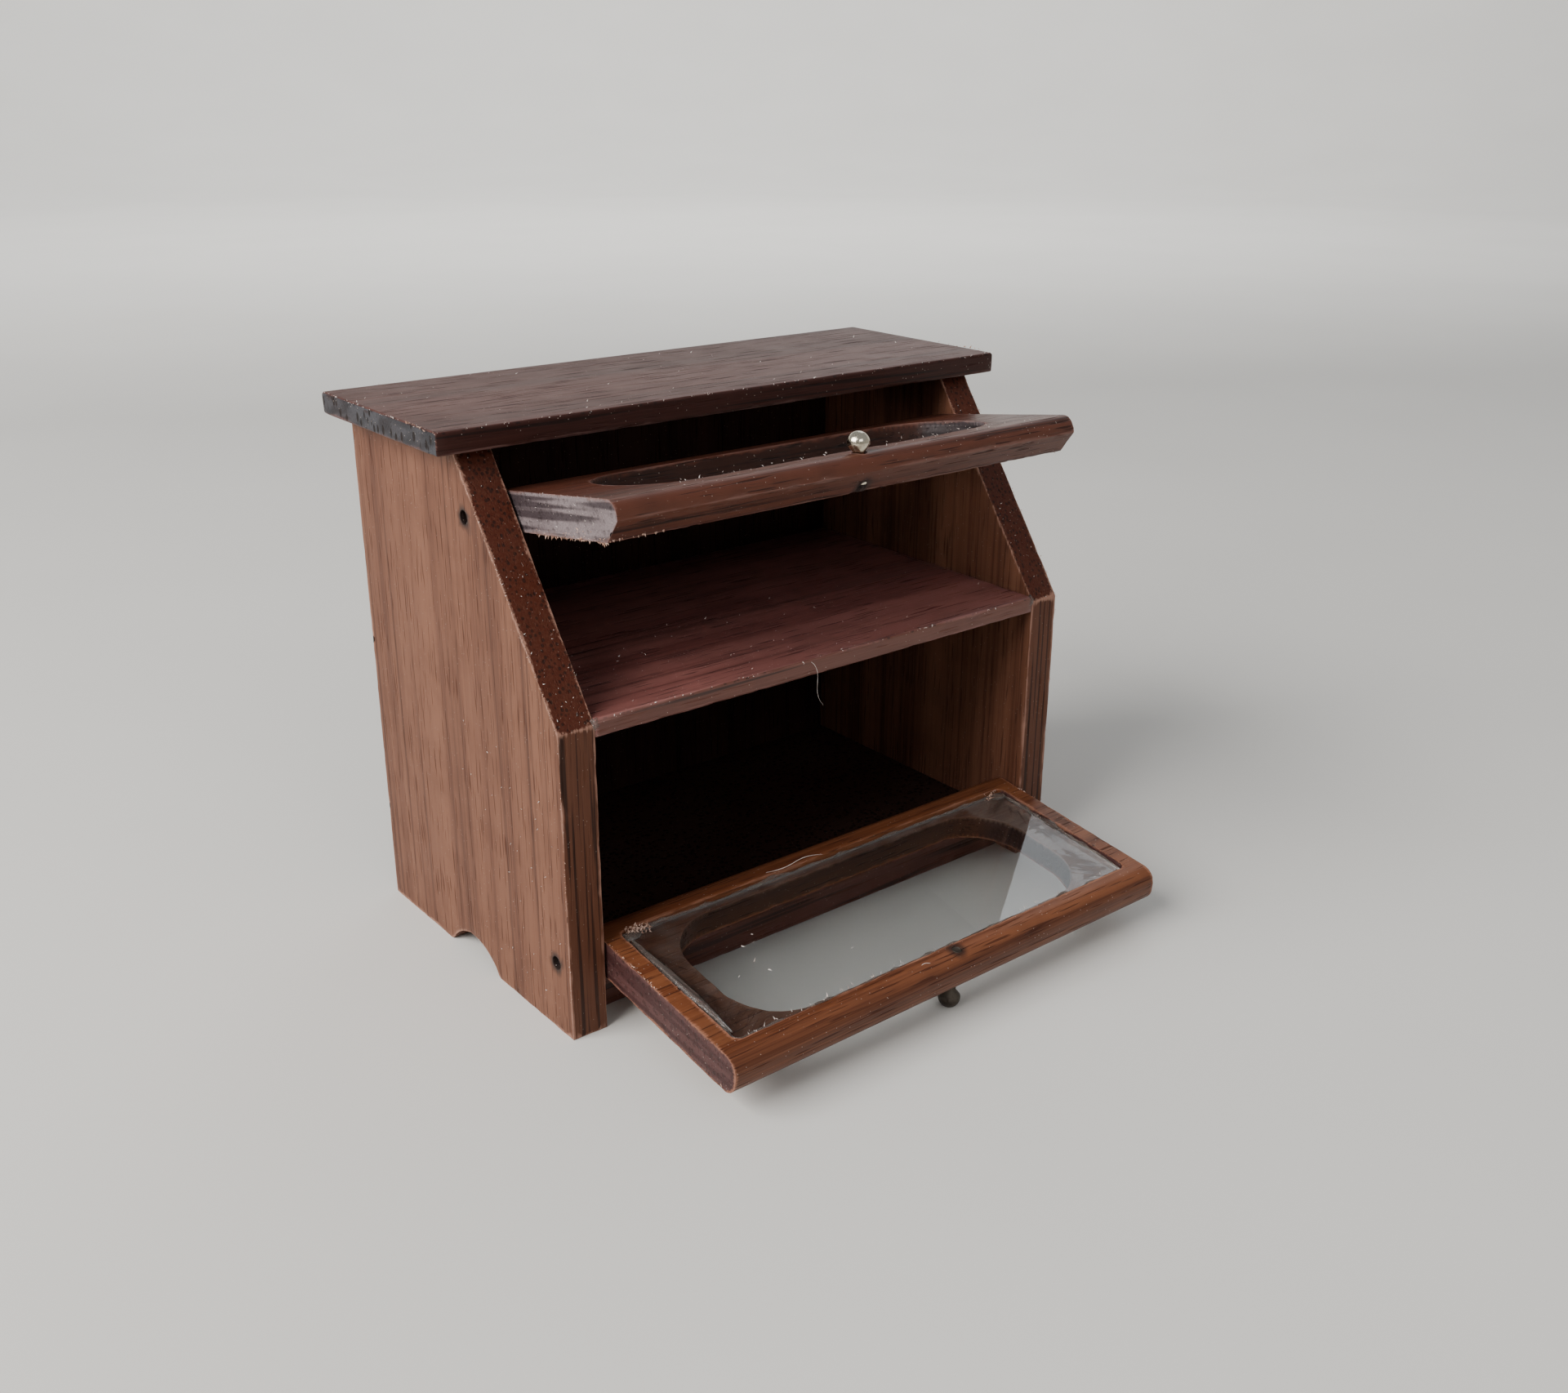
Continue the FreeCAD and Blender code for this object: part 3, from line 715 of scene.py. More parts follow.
# %% Geometry trees
class Growth(Tree):
    """A Geometry Nodes tree with named inputs, one mesh in and one mesh out."""

    def __init__(self, name, inputs):
        super().__init__(bpy.data.node_groups.new(name, "GeometryNodeTree"))
        face = self.tree.interface
        for label, kind in {"Mesh": "Geometry", **inputs}.items():
            face.new_socket(label, in_out="INPUT", socket_type="NodeSocket" + kind)
        face.new_socket("Mesh", in_out="OUTPUT", socket_type="NodeSocketGeometry")
        self.entry = self.tree.nodes.new("NodeGroupInput")

    def given(self, label):
        return Value(self, self.entry.outputs[label])

    def attribute(self, name, kind="FLOAT"):
        return self.node("GeometryNodeInputNamedAttribute", {"data_type": kind}, {"Name": name})

    def random(self, low, high, offset=0):
        """A random number for each element, from the Seed input."""
        return self.node(
            "FunctionNodeRandomValue", {"data_type": "FLOAT"},
            {"Min_001": low, "Max_001": high, "Seed": self.given("Seed") + offset}, "Value_001",
        )

    def end(self, geometry):
        """Realise, shade smooth, give the Finish input's material and close the tree."""
        whole = self.node("GeometryNodeRealizeInstances", {}, {"Geometry": geometry})
        smooth = self.node("GeometryNodeSetShadeSmooth", {}, {"Geometry": whole})
        done = self.node(
            "GeometryNodeSetMaterial", {}, {"Geometry": smooth, "Material": self.given("Finish")},
        )
        self.feed(self.tree.nodes.new("NodeGroupOutput"), 0, done)
        return self.tree


def grown(name, base, tree, **values):
    """The plain mesh that a tree makes of a base mesh."""
    holder = bpy.data.objects.new(name, base)
    bpy.context.scene.collection.objects.link(holder)
    modifier = holder.modifiers.new("growth", "NODES")
    modifier.node_group = tree
    for item in tree.interface.items_tree:
        if item.in_out == "INPUT" and item.name in values:
            modifier[item.identifier] = values[item.name]
    shaped = holder.evaluated_get(bpy.context.evaluated_depsgraph_get())
    mesh = bpy.data.meshes.new_from_object(shaped)
    bpy.data.objects.remove(holder)
    mesh.name = name
    return mesh


# %% [markdown]
# ## Glue
#
# Clear glue was run round the glass by hand, so the bead wanders and swells, thin along one
# side and thick in the corners. The tree resamples a closed path, sways it with noise, and
# sweeps a circle whose size follows more noise. The corner blobs are the same glue on its own.

# %% Glue beads
def glue_finish():
    f = Finish("milky_glue")
    haze = f.cloud((0.8, 0.8, 0.8), detail=3, rough=0.6)
    f.set(Base_Color=f.mix(haze, (0.80, 0.72, 0.66), (0.45, 0.34, 0.29)), Roughness=haze * 0.3 + 0.08)
    f.set(IOR=1.42, Transmission_Weight=0.9)
    f.bump(f.cloud((3.0, 3.0, 3.0), detail=2), 0.05 * MM)
    return f.material


def bead_tree():
    """A wandering bead along the edges of the mesh."""
    t = Growth("glue_bead", {
        "Radius": "Float", "Sway": "Float", "Step": "Float", "Lumps": "Float", "Finish": "Material",
    })
    path = t.node("GeometryNodeMeshToCurve", {}, {"Mesh": t.given("Mesh")})
    path = t.node(
        "GeometryNodeResampleCurve", {"mode": "LENGTH"}, {"Curve": path, "Length": t.given("Step")},
    )
    lumps = t.node("ShaderNodeTexNoise", {}, {"Scale": t.given("Lumps"), "Detail": 3.0})
    drift = t.node("ShaderNodeTexNoise", {}, {"Scale": t.given("Lumps"), "Detail": 1.0}, "Color")
    drift = t.node("ShaderNodeVectorMath", {"operation": "SUBTRACT"}, {0: drift, 1: (0.5, 0.5, 0.5)})
    drift = t.node(
        "ShaderNodeVectorMath", {"operation": "SCALE"}, {0: drift, "Scale": t.given("Sway")},
    )
    path = t.node("GeometryNodeSetPosition", {}, {"Geometry": path, "Offset": drift})
    round_section = t.node(
        "GeometryNodeCurvePrimitiveCircle", {}, {"Resolution": 10, "Radius": t.given("Radius")},
    )
    swell = t.node("ShaderNodeMath", {"operation": "MAXIMUM"}, {0: lumps * 4.2 - 1.65, 1: 0.12})
    bead = t.node(
        "GeometryNodeCurveToMesh", {},
        {"Curve": path, "Profile Curve": round_section, "Scale": swell},
    )
    return t.end(bead)


def loop_mesh(name, points):
    """A closed loop of edges."""
    mesh = bpy.data.meshes.new(name)
    count = len(points)
    mesh.from_pydata(points, [(i, (i + 1) % count) for i in range(count)], [])
    return mesh


def rounded_loop(low, high, radius, parts=5):
    """Corners of a rectangle rounded to a radius, as x and y pairs."""
    middle = ((high[0] - radius, high[1] - radius), (low[0] + radius, high[1] - radius),
              (low[0] + radius, low[1] + radius), (high[0] - radius, low[1] + radius))
    places = []
    for quarter, (x, y) in enumerate(middle):
        for i in range(parts + 1):
            angle = math.pi / 2 * (quarter + i / parts)
            places.append((x + radius * math.cos(angle), y + radius * math.sin(angle)))
    return places


GLUE = glue_finish()
BEAD_TREE = bead_tree()
for door in DOOR.values():
    low, high = door.glass
    face = high.z if door.inner > 0 else low.z
    edge = rounded_loop((low.x, low.y), (high.x, high.y), 0.5)
    path_mesh = loop_mesh("bead_path", [door.world(x, out, face) for x, out in edge])
    bead = grown(
        f"{door.body}_glue_bead", path_mesh, BEAD_TREE, Radius=0.17 * MM, Sway=0.40 * MM,
        Step=0.22 * MM, Lumps=620.0, Finish=GLUE,
    )
    bead_piece = new_piece(bead.name, bead, door.body)
    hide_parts(f"{door.body}_glue")
    print(bead_piece.name, len(bead.polygons), "faces")

# %% [markdown]
# ## Torn fibres, lint and crumbs
#
# A fine saw leaves a fringe of torn fibres where it leaves the wood, and a thing this small
# shows every bit of lint. Python picks the places, each with a direction and a size, and one
# tree puts a bent, tapered sliver on every point. Slivers are four-sided, so a hundred of them
# weigh nothing. Wide short slivers read as torn wood, and thin bent ones read as lint.

# %% Sliver tree
def fluff_finish(name, pale, deep):
    f = Finish(name)
    vary = f.cloud((2.5, 2.5, 2.5), detail=2)
    f.set(Base_Color=f.mix(f.step(vary, 0.35, 0.65), pale, deep), Roughness=0.55 + vary * 0.3)
    f.bump(f.cloud((9.0, 9.0, 9.0), detail=1), 0.02 * MM)
    return f.material


def sliver_tree():
    """A bent, tapered sliver on each point, along its lean, at its size."""
    t = Growth("slivers", {
        "Width": "Float", "Bend": "Float", "Seed": "Int", "Finish": "Material",
    })
    cone = t.node(
        "GeometryNodeMeshCone", {},
        {
            "Vertices": 4, "Side Segments": 4, "Depth": 1.0,
            "Radius Top": 0.012, "Radius Bottom": t.given("Width"),
        },
    )
    place = t.node("GeometryNodeInputPosition")
    height = t.node("ShaderNodeSeparateXYZ", {}, {0: place}, 2)
    sideways = t.node("ShaderNodeCombineXYZ", {}, {"X": height * height * t.given("Bend")})
    bent = t.node("GeometryNodeSetPosition", {}, {"Geometry": cone, "Offset": sideways})
    aim = t.node(
        "FunctionNodeAlignRotationToVector", {"axis": "Z"},
        {"Vector": t.attribute("lean", "FLOAT_VECTOR")},
    )
    spin = t.node(
        "FunctionNodeAxisAngleToRotation", {}, {"Axis": (0, 0, 1), "Angle": t.random(0.0, math.tau)},
    )
    turned = t.node(
        "FunctionNodeRotateRotation", {"rotation_space": "LOCAL"}, {"Rotation": aim, "Rotate By": spin},
    )
    slivers = t.node(
        "GeometryNodeInstanceOnPoints", {},
        {
            "Points": t.given("Mesh"), "Instance": bent, "Rotation": turned,
            "Scale": t.attribute("size") * t.random(0.6, 1.25, offset=1),
        },
    )
    return t.end(slivers)


SLIVER_TREE = sliver_tree()
TORN_WOOD = fluff_finish("torn_wood", (0.66, 0.46, 0.37), (0.36, 0.20, 0.14))
LINT = fluff_finish("pale_lint", (0.80, 0.74, 0.70), (0.55, 0.46, 0.42))
print("sliver tree with", len(SLIVER_TREE.nodes), "nodes")


# %% Placing slivers
class Scatter:
    """Points with a lean and a size, for one body and one look.

    Where proud is given, no sliver stands further than that, in mm, off the ends of a door, so
    that it clears the sides as the door swings.
    """

    def __init__(self, name, body, material_slot, seed, proud=None):
        self.name, self.body, self.slot = name, body, material_slot
        self.seed, self.proud = seed, proud
        self.draw = random.Random(seed)
        self.places, self.leans, self.sizes = [], [], []

    def add(self, place, lean, size, loose=0.5):
        """One sliver. loose turns its lean at random, and size is in mm."""
        stray = Vector(self.draw.uniform(-1, 1) for _ in range(3)) * loose
        way = (lean.normalized() + stray).normalized()
        if self.proud and abs(way.x) * size > self.proud:
            way.x = math.copysign(self.proud / size, way.x)
            way.normalize()
        if self.proud:
            place = place - Vector((math.copysign(self.proud, place.x), 0, 0)) * MM
        self.places.append(place)
        self.leans.append(way)
        self.sizes.append(size * MM)

    def along(self, start, end, count, lean, size, spread=0.05, loose=0.5, clump=0.0):
        """Slivers on a line. clump gathers them where slow noise is high."""
        made = 0
        for _ in range(count * 6):
            share = self.draw.random()
            place = start.lerp(end, share)
            thick = 0.5 + 0.5 * noise.noise(place / MM * 0.9 + Vector((self.seed, 0, 0)))
            if self.draw.random() > 1 - clump + clump * thick * 1.6:
                continue
            stray = Vector(self.draw.uniform(-1, 1) for _ in range(3)) * spread * MM
            if self.proud:
                stray.x = 0.0
            self.add(place + stray, lean, size * self.draw.uniform(0.5, 1.2), loose)
            made += 1
            if made == count:
                break

    def over(self, corner, edge_a, edge_b, count, lean, size, loose=1.0):
        """Slivers on a flat four-sided patch."""
        for _ in range(count):
            place = corner + edge_a * self.draw.random() + edge_b * self.draw.random()
            self.add(place, lean, size * self.draw.uniform(0.4, 1.3), loose)

    def grow(self, finish, width, bend):
        """Turn the points into one piece on the body."""
        points = bpy.data.meshes.new(self.name + "_points")
        points.from_pydata(self.places, [], [])
        lean = points.attributes.new("lean", "FLOAT_VECTOR", "POINT")
        lean.data.foreach_set("vector", [part for way in self.leans for part in way])
        size = points.attributes.new("size", "FLOAT", "POINT")
        size.data.foreach_set("value", self.sizes)
        mesh = grown(
            self.name, points, SLIVER_TREE, Width=width, Bend=bend, Seed=self.seed, Finish=finish,
        )
        piece = new_piece(self.name, mesh, self.body)
        print(piece.name, len(self.places), "slivers,", len(mesh.polygons), "faces")
        return piece


# %% [markdown]
# The upper door shows its torn end most. The fringe hangs from the lower arris and its roots
# are sunk a little into the wood, so that it clears the side of the case when the door closes.

# %% Torn fibres and lint on the upper door
def upper_door_fluff():
    """The saw came out at the lower arris of the ends, which is torn from a quarter of its way."""
    door = DOOR["upper"]
    at, way, up = door.world, door.way, door.up
    low, high = door.wood
    torn = Scatter("upper_door_torn", door.body, door.slot, seed=11, proud=0.06)
    lint = Scatter("upper_door_lint", door.body, door.slot, seed=12, proud=0.06)
    for side, amount in ((-1, 1.0), (1, 0.35)):
        end = side * high.x
        out_way = way(side, 0, 0)
        sunk = end - side * 0.11
        first, last = at(sunk, 3.4, low.z + 0.12), at(sunk, high.y - 1.5, low.z + 0.12)
        torn.along(first, last, int(460 * amount), way(side * 0.9, 0.1, 0.5), 0.28, 0.14, 0.8, 0.85)
        middle = first.lerp(last, 0.45) + up * 0.22 * MM
        last_up = last + up * 0.3 * MM
        torn.along(middle, last_up, int(260 * amount), way(side, 0, 0.8), 0.28, 0.2, 0.8, 0.8)
        torn.along(first, last, int(120 * amount), way(side * 0.4, 0.1, -1), 0.26, 0.12, 0.7, 0.9)
        upper_line = (at(end, 2.8, high.z - 0.1), at(end, high.y - 1.0, high.z - 0.1))
        lint.along(*upper_line, int(44 * amount), out_way + up * 0.6, 0.14, 0.12, 0.8, 0.6)
        lint.over(
            at(end, 2.6, low.z + 0.4), door.nose * 9 * MM, up * 1.7 * MM, int(110 * amount),
            out_way * 0.4 + up * 0.5, 0.17,
        )
    window = door.glass[1].y - 0.4
    lint.along(
        at(-14, window, high.z), at(14, window, high.z), 54, way(0, -0.5, 0.5), 0.16, 0.16, 0.8, 0.8,
    )
    lint.over(
        at(-19, window + 0.3, high.z), way(38, 0, 0) * MM, door.nose * 1.2 * MM, 34, up, 0.13,
    )
    under, near_nose = low.z + 0.15, high.y - 1.2
    torn.along(at(-18.8, near_nose, under), at(-15, near_nose, under), 26, -up, 0.18)
    torn.grow(TORN_WOOD, 0.30, 0.15)
    lint.grow(LINT, 0.16, 0.3)


upper_door_fluff()

# %% [markdown]
# The lower door is torn at the back of its left arris and in the corners of the rebate, and the
# flat glass catches a few specks.

# %% Torn fibres and lint on the lower door
def lower_door_fluff():
    """Torn at the back of the left arris and at the corners, with lint on the ends and glass."""
    door = DOOR["lower"]
    at, way, nose = door.world, door.way, door.nose
    low, high = door.wood
    glass_low, glass_high = door.glass
    torn = Scatter("lower_door_torn", door.body, door.slot, seed=21, proud=0.06)
    lint = Scatter("lower_door_lint", door.body, door.slot, seed=22, proud=0.06)
    for side, amount in ((-1, 1.0), (1, 0.3)):
        end = side * high.x
        torn.along(
            at(end, 1.5, high.z), at(end, 7.0, high.z), int(60 * amount), way(side * 0.3, 0.8, 0.4),
            0.15, 0.10, 0.8, 0.8,
        )
        torn.along(
            at(end, high.y - 1.6, low.z + 0.2), at(end, high.y - 0.5, low.z + 0.7),
            int(22 * amount), nose * 0.5 - door.up, 0.17, 0.1, 0.8,
        )
        lint.over(
            at(end, 1.0, low.z + 0.2), nose * 13 * MM, door.up * 2.1 * MM, int(80 * amount),
            door.up * 0.4 + nose, 0.09, 1.2,
        )
        corner = side * (glass_high.x - 0.2)
        torn.along(
            at(corner, 0.9, high.z - 0.1), at(corner - side * 1.6, 1.3, high.z - 0.1),
            int(110 * amount), way(-side * 0.4, 0.6, 0.5), 0.22, 0.26, 1.0,
        )
    lint.over(
        at(-14.5, 5.0, glass_high.z), way(9, 0, 0) * MM, nose * 6 * MM, 10, way(1, 0.5, 0.15),
        0.30, 0.6,
    )
    lint.over(
        at(-18, glass_high.y + 0.4, high.z - 0.25), way(36, 0, 0) * MM, nose * 0.8 * MM, 26,
        door.up * 0.5 + nose, 0.24,
    )
    lint.along(
        at(-17, glass_high.y, high.z), at(17, glass_high.y, high.z), 60, way(0, -0.7, 0.3),
        0.24, 0.1, 0.8, 0.7,
    )
    torn.grow(TORN_WOOD, 0.28, 0.15)
    lint.grow(LINT, 0.16, 0.3)


lower_door_fluff()


# %% [markdown]
# Lint catches on the sawn slopes and along the edges of the boards. The knee is where the
# upright front edge of a side turns back, and the crown is where the slope meets the top.

# %% Torn fibres and lint on the case
SIDE_VERTS = [v.co for v in frame["nodes"]["side_left"].data.vertices]
(SIDE_OUT, FRONT_Y, _), (SIDE_IN, _, SIDE_TOP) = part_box("side_left")
KNEE_Z = max(co.z for co in SIDE_VERTS if co.y < FRONT_Y + 0.02 * MM)
CROWN_Y = min(co.y for co in SIDE_VERTS if co.z > SIDE_TOP - 0.02 * MM)
print("knee at", round(KNEE_Z / MM, 2), "mm, front at", round(FRONT_Y / MM, 2), "mm")


def case_fluff():
    """Lint caught on the slopes and the sawn ends, and slivers where arrises chipped."""
    torn = Scatter("case_torn", "case", "side_wood", seed=31)
    lint = Scatter("case_lint", "case", "side_wood", seed=32)
    curls = Scatter("case_curls", "case", "side_wood", seed=33)
    lid_low, lid_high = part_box("top_board")
    for side, amount in ((-1, 1.0), (1, 0.6)):
        outer, inner = -side * SIDE_OUT, -side * SIDE_IN
        knee = Vector((outer, FRONT_Y, KNEE_Z))
        crown = Vector((outer, CROWN_Y, SIDE_TOP))
        rise = crown - knee
        slope_way = Vector((0, -rise.z, rise.y)).normalized()
        out_and_up = slope_way + Vector((side, 0, 0))
        width = Vector((inner - outer, 0, 0))
        torn.along(knee, crown, int(150 * amount), out_and_up, 0.11, 0.05, 0.8, 0.6)
        torn.along(
            Vector((outer, FRONT_Y, 0.4 * MM)), knee, int(60 * amount), Vector((side, -0.6, 0)),
            0.09, 0.05, 0.8, 0.8,
        )
        lint.over(knee, width, rise * 0.55, int(26 * amount), slope_way, 0.11, 0.9)
        lint.over(knee, width, rise, int(18 * amount), slope_way, 0.10, 0.9)
        curls.over(
            knee + width * 0.3, width * 0.7, rise * 0.9, int(5 * amount), slope_way, 0.18, 0.6,
        )
        lint.over(
            Vector((outer, FRONT_Y + 0.6 * MM, 2 * MM)), Vector((0, 12 * MM, 0)),
            Vector((0, 0, 17 * MM)), int(46 * amount), Vector((side, 0, 0)), 0.12,
        )
        end = lid_low.x if side < 0 else lid_high.x
        torn.along(
            Vector((end, lid_low.y, lid_high.z)), Vector((end, lid_low.y + 4 * MM, lid_high.z)),
            int(18 * amount), Vector((side, -0.5, 0.8)), 0.18, 0.08, 0.8,
        )
        lint.along(
            Vector((end, lid_low.y, lid_high.z)), Vector((end, lid_high.y, lid_high.z)),
            int(34 * amount), Vector((side, 0, 1)), 0.13, 0.06, 0.8,
        )
    lid_corner = Vector((lid_low.x, lid_low.y, lid_high.z))
    lint.along(
        lid_corner, Vector((lid_high.x, lid_low.y, lid_high.z)), 46, Vector((0, -0.6, 0.8)),
        0.12, 0.06, 0.8, 0.6,
    )
    lint.over(
        lid_corner, Vector((lid_high.x - lid_low.x, 0, 0)), Vector((0, lid_high.y - lid_low.y, 0)),
        60, Vector((0.5, 0, 0.4)), 0.13,
    )
    shelf_low, shelf_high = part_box("shelf")
    shelf_left = Vector((shelf_low.x + MM, shelf_low.y, shelf_high.z))
    shelf_right = Vector((shelf_high.x - MM, shelf_low.y, shelf_high.z))
    lint.over(
        shelf_left, Vector((shelf_high.x - shelf_low.x - 2 * MM, 0, 0)), Vector((0, 12 * MM, 0)),
        60, Vector((0.5, 0, 0.4)), 0.15,
    )
    lint.along(shelf_left, shelf_right, 26, Vector((0, -1, 0.2)), 0.15, 0.06, 0.8)
    torn.grow(TORN_WOOD, 0.26, 0.3)
    lint.grow(LINT, 0.24, 0.4)
    curls.grow(LINT, 0.05, 0.9)


case_fluff()

# %% [markdown]
# ## Stray hairs
#
# A few long hairs are caught on the edges. Each is a smooth curve through a handful of places,
# given a round section, thinner than a tenth of a millimetre, and turned into a mesh.

# %% Hairs
def hair(name, body, places, thickness=0.022):
    """A hair through some places, which may curl between them."""
    data = bpy.data.curves.new(name, "CURVE")
    data.dimensions = "3D"
    data.bevel_depth = thickness * MM
    data.bevel_resolution = 1
    data.resolution_u = 8
    data.use_fill_caps = True
    spline = data.splines.new("NURBS")
    spline.points.add(len(places) - 1)
    for point, place in zip(spline.points, places):
        point.co = (*place, 1)
    spline.points[0].radius = 0.4
    spline.points[-1].radius = 0.3
    spline.order_u = 4
    spline.use_endpoint_u = True
    holder = bpy.data.objects.new(name + "_curve", data)
    bpy.context.scene.collection.objects.link(holder)
    shaped = holder.evaluated_get(bpy.context.evaluated_depsgraph_get())
    mesh = bpy.data.meshes.new_from_object(shaped)
    bpy.data.objects.remove(holder)
    return new_piece(name, mesh, body, LINT)


shelf_low, shelf_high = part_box("shelf")
hang = Vector((shelf_low.x + 17 * MM, shelf_low.y, shelf_low.z + 0.3 * MM))
HANGING = [
    (-0.6, 0.3, 0.9), (0.1, -0.25, 0.7), (0.2, -0.3, -0.6), (-0.1, -0.35, -1.7), (0.6, -0.4, -2.5),
]
ON_RAIL = [
    (-5.2, 0.5, 1.36), (-4.4, 0.9, 1.5), (-3.0, 0.7, 1.36), (-1.6, 0.3, 1.45), (-0.4, 0.8, 1.36),
]
ON_GLASS = [(-3.4, 14.2, 1.20), (-2.9, 13.6, 1.42), (-2.2, 14.3, 1.36), (-1.9, 14.9, 0.85)]
hair(
    "shelf_hair", "case", [hang + Vector(step) * MM for step in HANGING],
    thickness=0.010,
)
lower = DOOR["lower"]
for hair_name, hair_places in (("hinge_rail_hair", ON_RAIL), ("glass_hair", ON_GLASS)):
    hair(hair_name, lower.body, [lower.world(*place) for place in hair_places])
print("hairs placed")

# %% [markdown]
# ## Lumps of glue
#
# A little glue squeezed out and dried at each knee, more of it filled the back corners of the
# lower door's rebate, and a ridge of it runs along the left end of that glass. Each lump is a
# fine ball stretched to a size and pushed in and out by noise, half sunk in its corner.

# %% Glue blobs
def glue_blob(name, body, centre, size, seed, way=lambda x, y, z: Vector((x, y, z))):
    """A lump of glue, as a ball squashed to a size in mm along some ways and roughened."""
    bm = bmesh.new()
    bmesh.ops.create_icosphere(bm, subdivisions=3, radius=1)
    for vert in bm.verts:
        place = Vector(part * amount for part, amount in zip(vert.co, size))
        swell = 1 + 0.5 * noise.noise(place * 1.9 + vert.co + Vector((seed, 0, 0)))
        vert.co = centre + way(place.x * swell, place.y, place.z * swell) * MM
    return new_piece(name, smooth_mesh(name, bm), body, GLUE)


for side in (-1, 1):
    corner = Vector((side * abs(SIDE_IN), FRONT_Y, shelf_high.z))
    glue_blob(
        "knee_glue_left" if side < 0 else "knee_glue_right", "case",
        corner + Vector((-side * 0.1, 0.15, -0.35)) * MM, (0.30, 0.22, 0.42), seed=side,
    )
low, high = lower.glass
for side in (-1, 1):
    glue_blob(
        "rebate_glue_left" if side < 0 else "rebate_glue_right", lower.body,
        lower.world(side * (high.x - 0.5), low.y + 0.3, high.z - 0.05), (0.75, 0.5, 0.22),
        seed=4 + side,
    )
glue_blob(
    "rebate_glue_ridge", lower.body, lower.world(low.x + 0.25, (low.y + high.y) / 2, high.z),
    (0.34, (high.y - low.y) / 2 - 0.7, 0.22), seed=9, way=lower.way,
)
print("glue blobs placed")

# %% [markdown]
# ## Metal
#
# The knobs are ball-headed pins, the upper of pale brass and the lower one near black, and the hinges
# are cut wire. The same near-black metal is painted shade on the upper hinge wires. One recipe gives
# all three metals: a clean colour, a tarnished one in patches, and fine scratches in the gloss.

# %% Metal finishes
def metal(name, colour, tarnished, roughness):
    f = Finish(name)
    tarnish = f.cloud((1.2, 1.2, 1.2), detail=3, rough=0.6)
    scratches = f.cloud((9, 9, 1.5), detail=1)
    f.set(Base_Color=f.mix(f.step(tarnish, 0.45, 0.8), colour, tarnished), Metallic=1.0)
    f.set(Roughness=roughness + tarnish * 0.14 + f.step(scratches, 0.55, 0.7) * 0.12)
    f.bump(scratches, 0.006 * MM)
    return f.material


KNOB_METAL = metal("pale_brass", (0.66, 0.60, 0.48), (0.22, 0.17, 0.12), 0.10)
WIRE_METAL = metal("cut_wire", (0.62, 0.61, 0.60), (0.30, 0.27, 0.24), 0.22)
# Near-black metal: painted shade on the upper hinge wires, and the colour of the lower knob.
DARK_WIRE_PIN_SHADE = metal("dull_wire", (0.10, 0.085, 0.07), (0.04, 0.03, 0.025), 0.5)
print("metals: pale brass, cut wire, dull wire")

# %% [markdown]
# A knob is a turned shape, so half its outline is spun round its own axis: a dished shank end, a
# straight shank that runs through the wood, a short cone, and a ball.

# %% Knobs and hinge wires
BALL_STEPS, BALL_START, BALL_STEP = 12, -12, 9.2


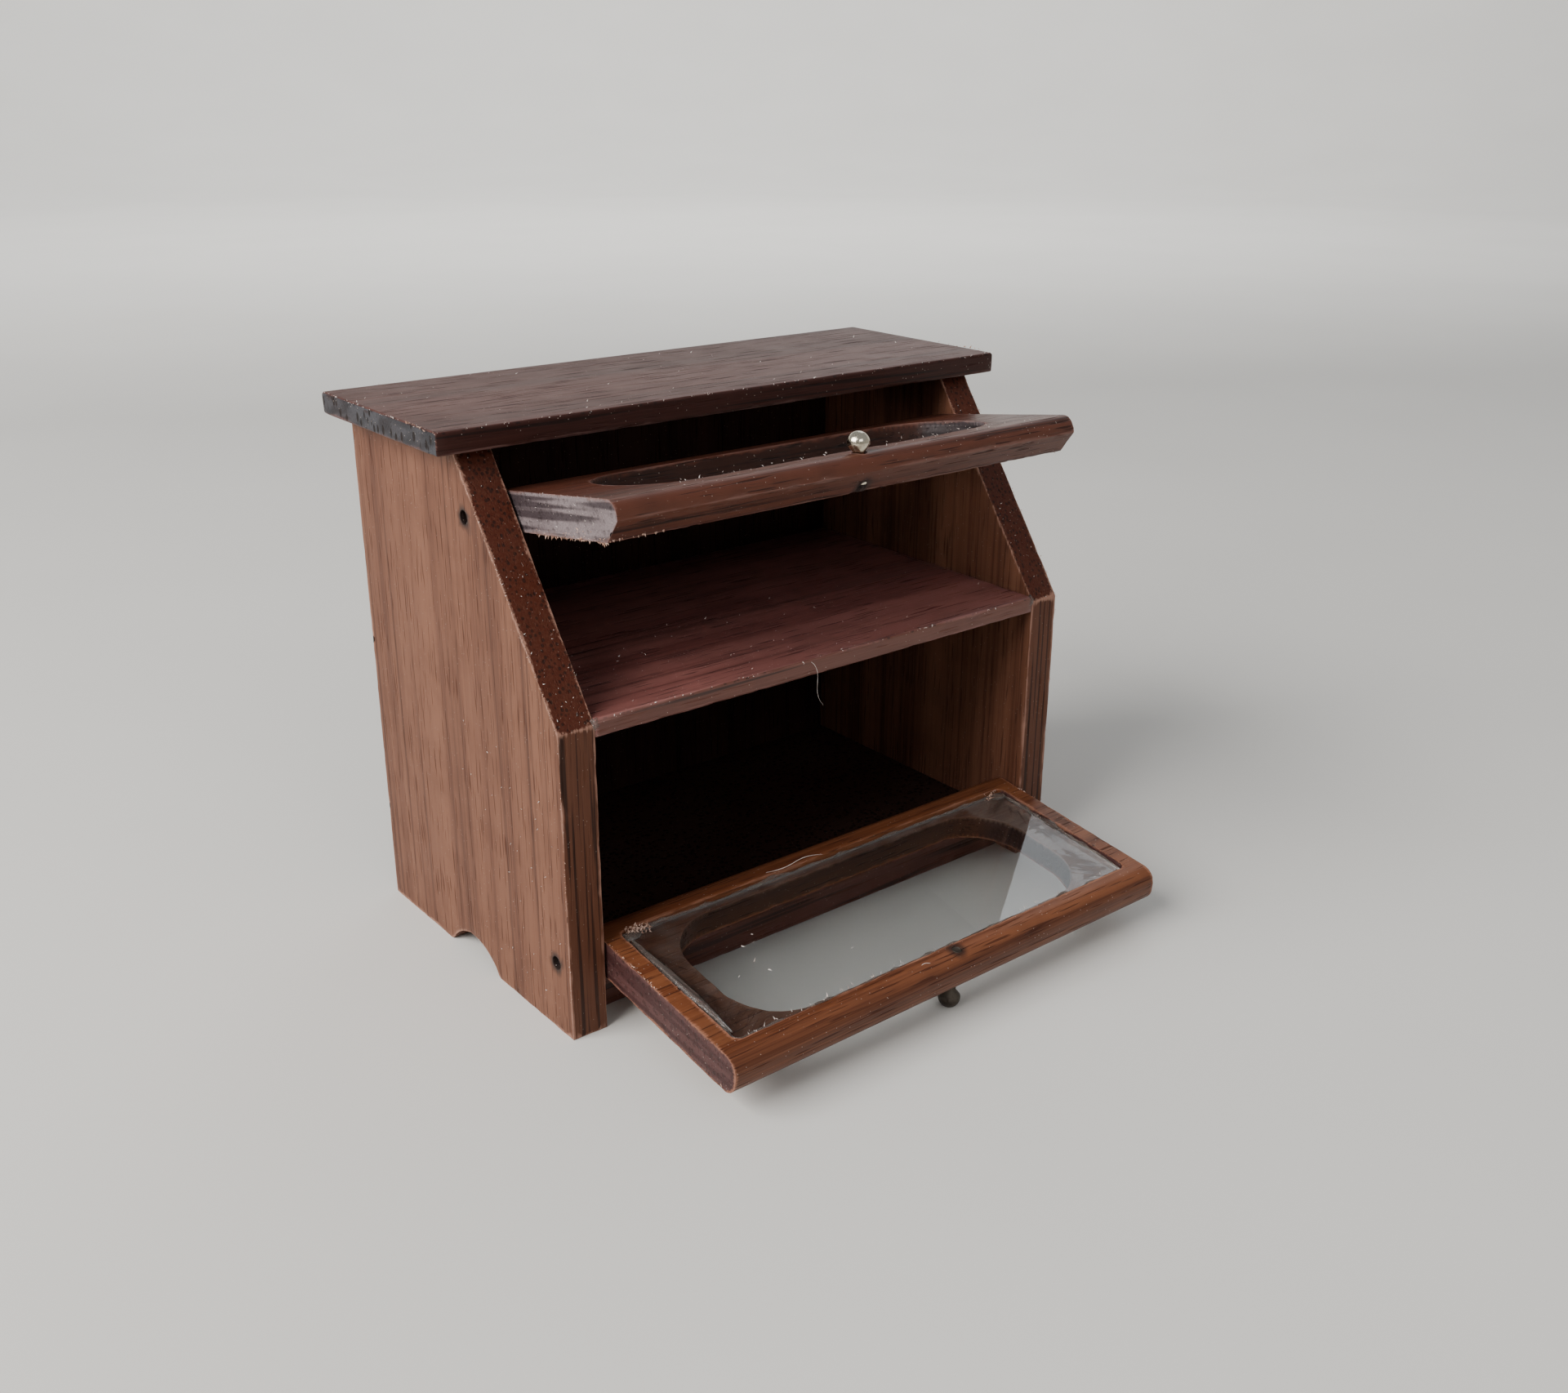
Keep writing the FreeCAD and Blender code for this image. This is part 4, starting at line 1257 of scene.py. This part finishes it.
def turned_knob(door):
    """A knob spun from the half outline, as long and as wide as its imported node."""
    low, high = door.span("knob")
    sign = -door.inner
    tip = high.z if sign > 0 else -low.z
    inside = -low.z if sign > 0 else high.z
    surface = door.wood[1].z if sign > 0 else -door.wood[0].z
    radius = (high.x - low.x) / 2
    ball = tip - radius
    neck = 0.33
    outline = [(0.0, 0.06 - inside), (0.22, 0.05 - inside)]
    outline += [(neck - 0.03, -inside), (neck, 0.04 - inside)]
    outline += [(neck, surface - 0.25), (neck + 0.02, max(surface - 0.2, ball - 0.62))]
    for i in range(BALL_STEPS):
        angle = math.radians(BALL_START + i * BALL_STEP)
        outline.append((radius * math.cos(angle), ball + radius * math.sin(angle)))
    outline.append((0.0, tip - 0.01))
    bm = spun([(r * MM, z * MM) for r, z in outline], 40, 1e-7)
    turn = Matrix((Vector((1, 0, 0)), door.nose, door.up * sign)).transposed()
    centre = door.world(0, door.knob(), 0)
    for vert in bm.verts:
        vert.co = centre + turn @ vert.co
    bmesh.ops.recalc_face_normals(bm, faces=bm.faces)
    mesh = smooth_mesh(f"{door.name}_knob_turned", bm)
    mesh.set_sharp_from_angle(angle=math.radians(40))
    knob_metal = KNOB_METAL if door.name == "upper" else DARK_WIRE_PIN_SHADE
    piece = new_piece(mesh.name, mesh, door.body, knob_metal)
    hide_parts(f"{door.body}_knob")
    print(piece.name, "from", round(-inside, 2), "to", round(tip, 2), "mm")


for door in DOOR.values():
    turned_knob(door)
    for side in ("left", "right"):
        wire = frame["nodes"][f"{door.name}_hinge_pin_{side}"].data
        wire.materials.clear()
        # The upper hinge wires are near black as painted shade in their holes.
        wire.materials.append(WIRE_METAL if door.name == "lower" else DARK_WIRE_PIN_SHADE)

# %% [markdown]
# ## The ground
#
# The floor is a plain pale disc whose rim curls up far away, so there is no horizon from any
# side. It isn't part of the object.

# %% Pale floor
def pale_floor():
    """A disc with a softly rising rim, spun from a short profile."""
    flat, top, rings, parts = 0.7, 0.45, 14, 96
    profile = [(0.0, 0.0), (0.2, 0.0)]
    profile += [
        (flat + top * math.sin(math.pi / 2 * i / rings), top * (1 - math.cos(math.pi / 2 * i / rings)))
        for i in range(rings + 1)
    ]
    bm = spun(profile, parts, 1e-6)
    bmesh.ops.recalc_face_normals(bm, faces=bm.faces)
    mesh = smooth_mesh("floor", bm)
    floor = bpy.data.objects.new("floor", mesh)
    bpy.context.scene.collection.objects.link(floor)
    f = Finish("pale_card")
    mottle = f.cloud((0.02, 0.02, 0.02), detail=2)
    f.set(Base_Color=f.mix(mottle, (0.66, 0.65, 0.62), (0.72, 0.71, 0.68)), Roughness=0.8)
    mesh.materials.append(f.material)
    return floor


pale_floor()
print("floor spun")
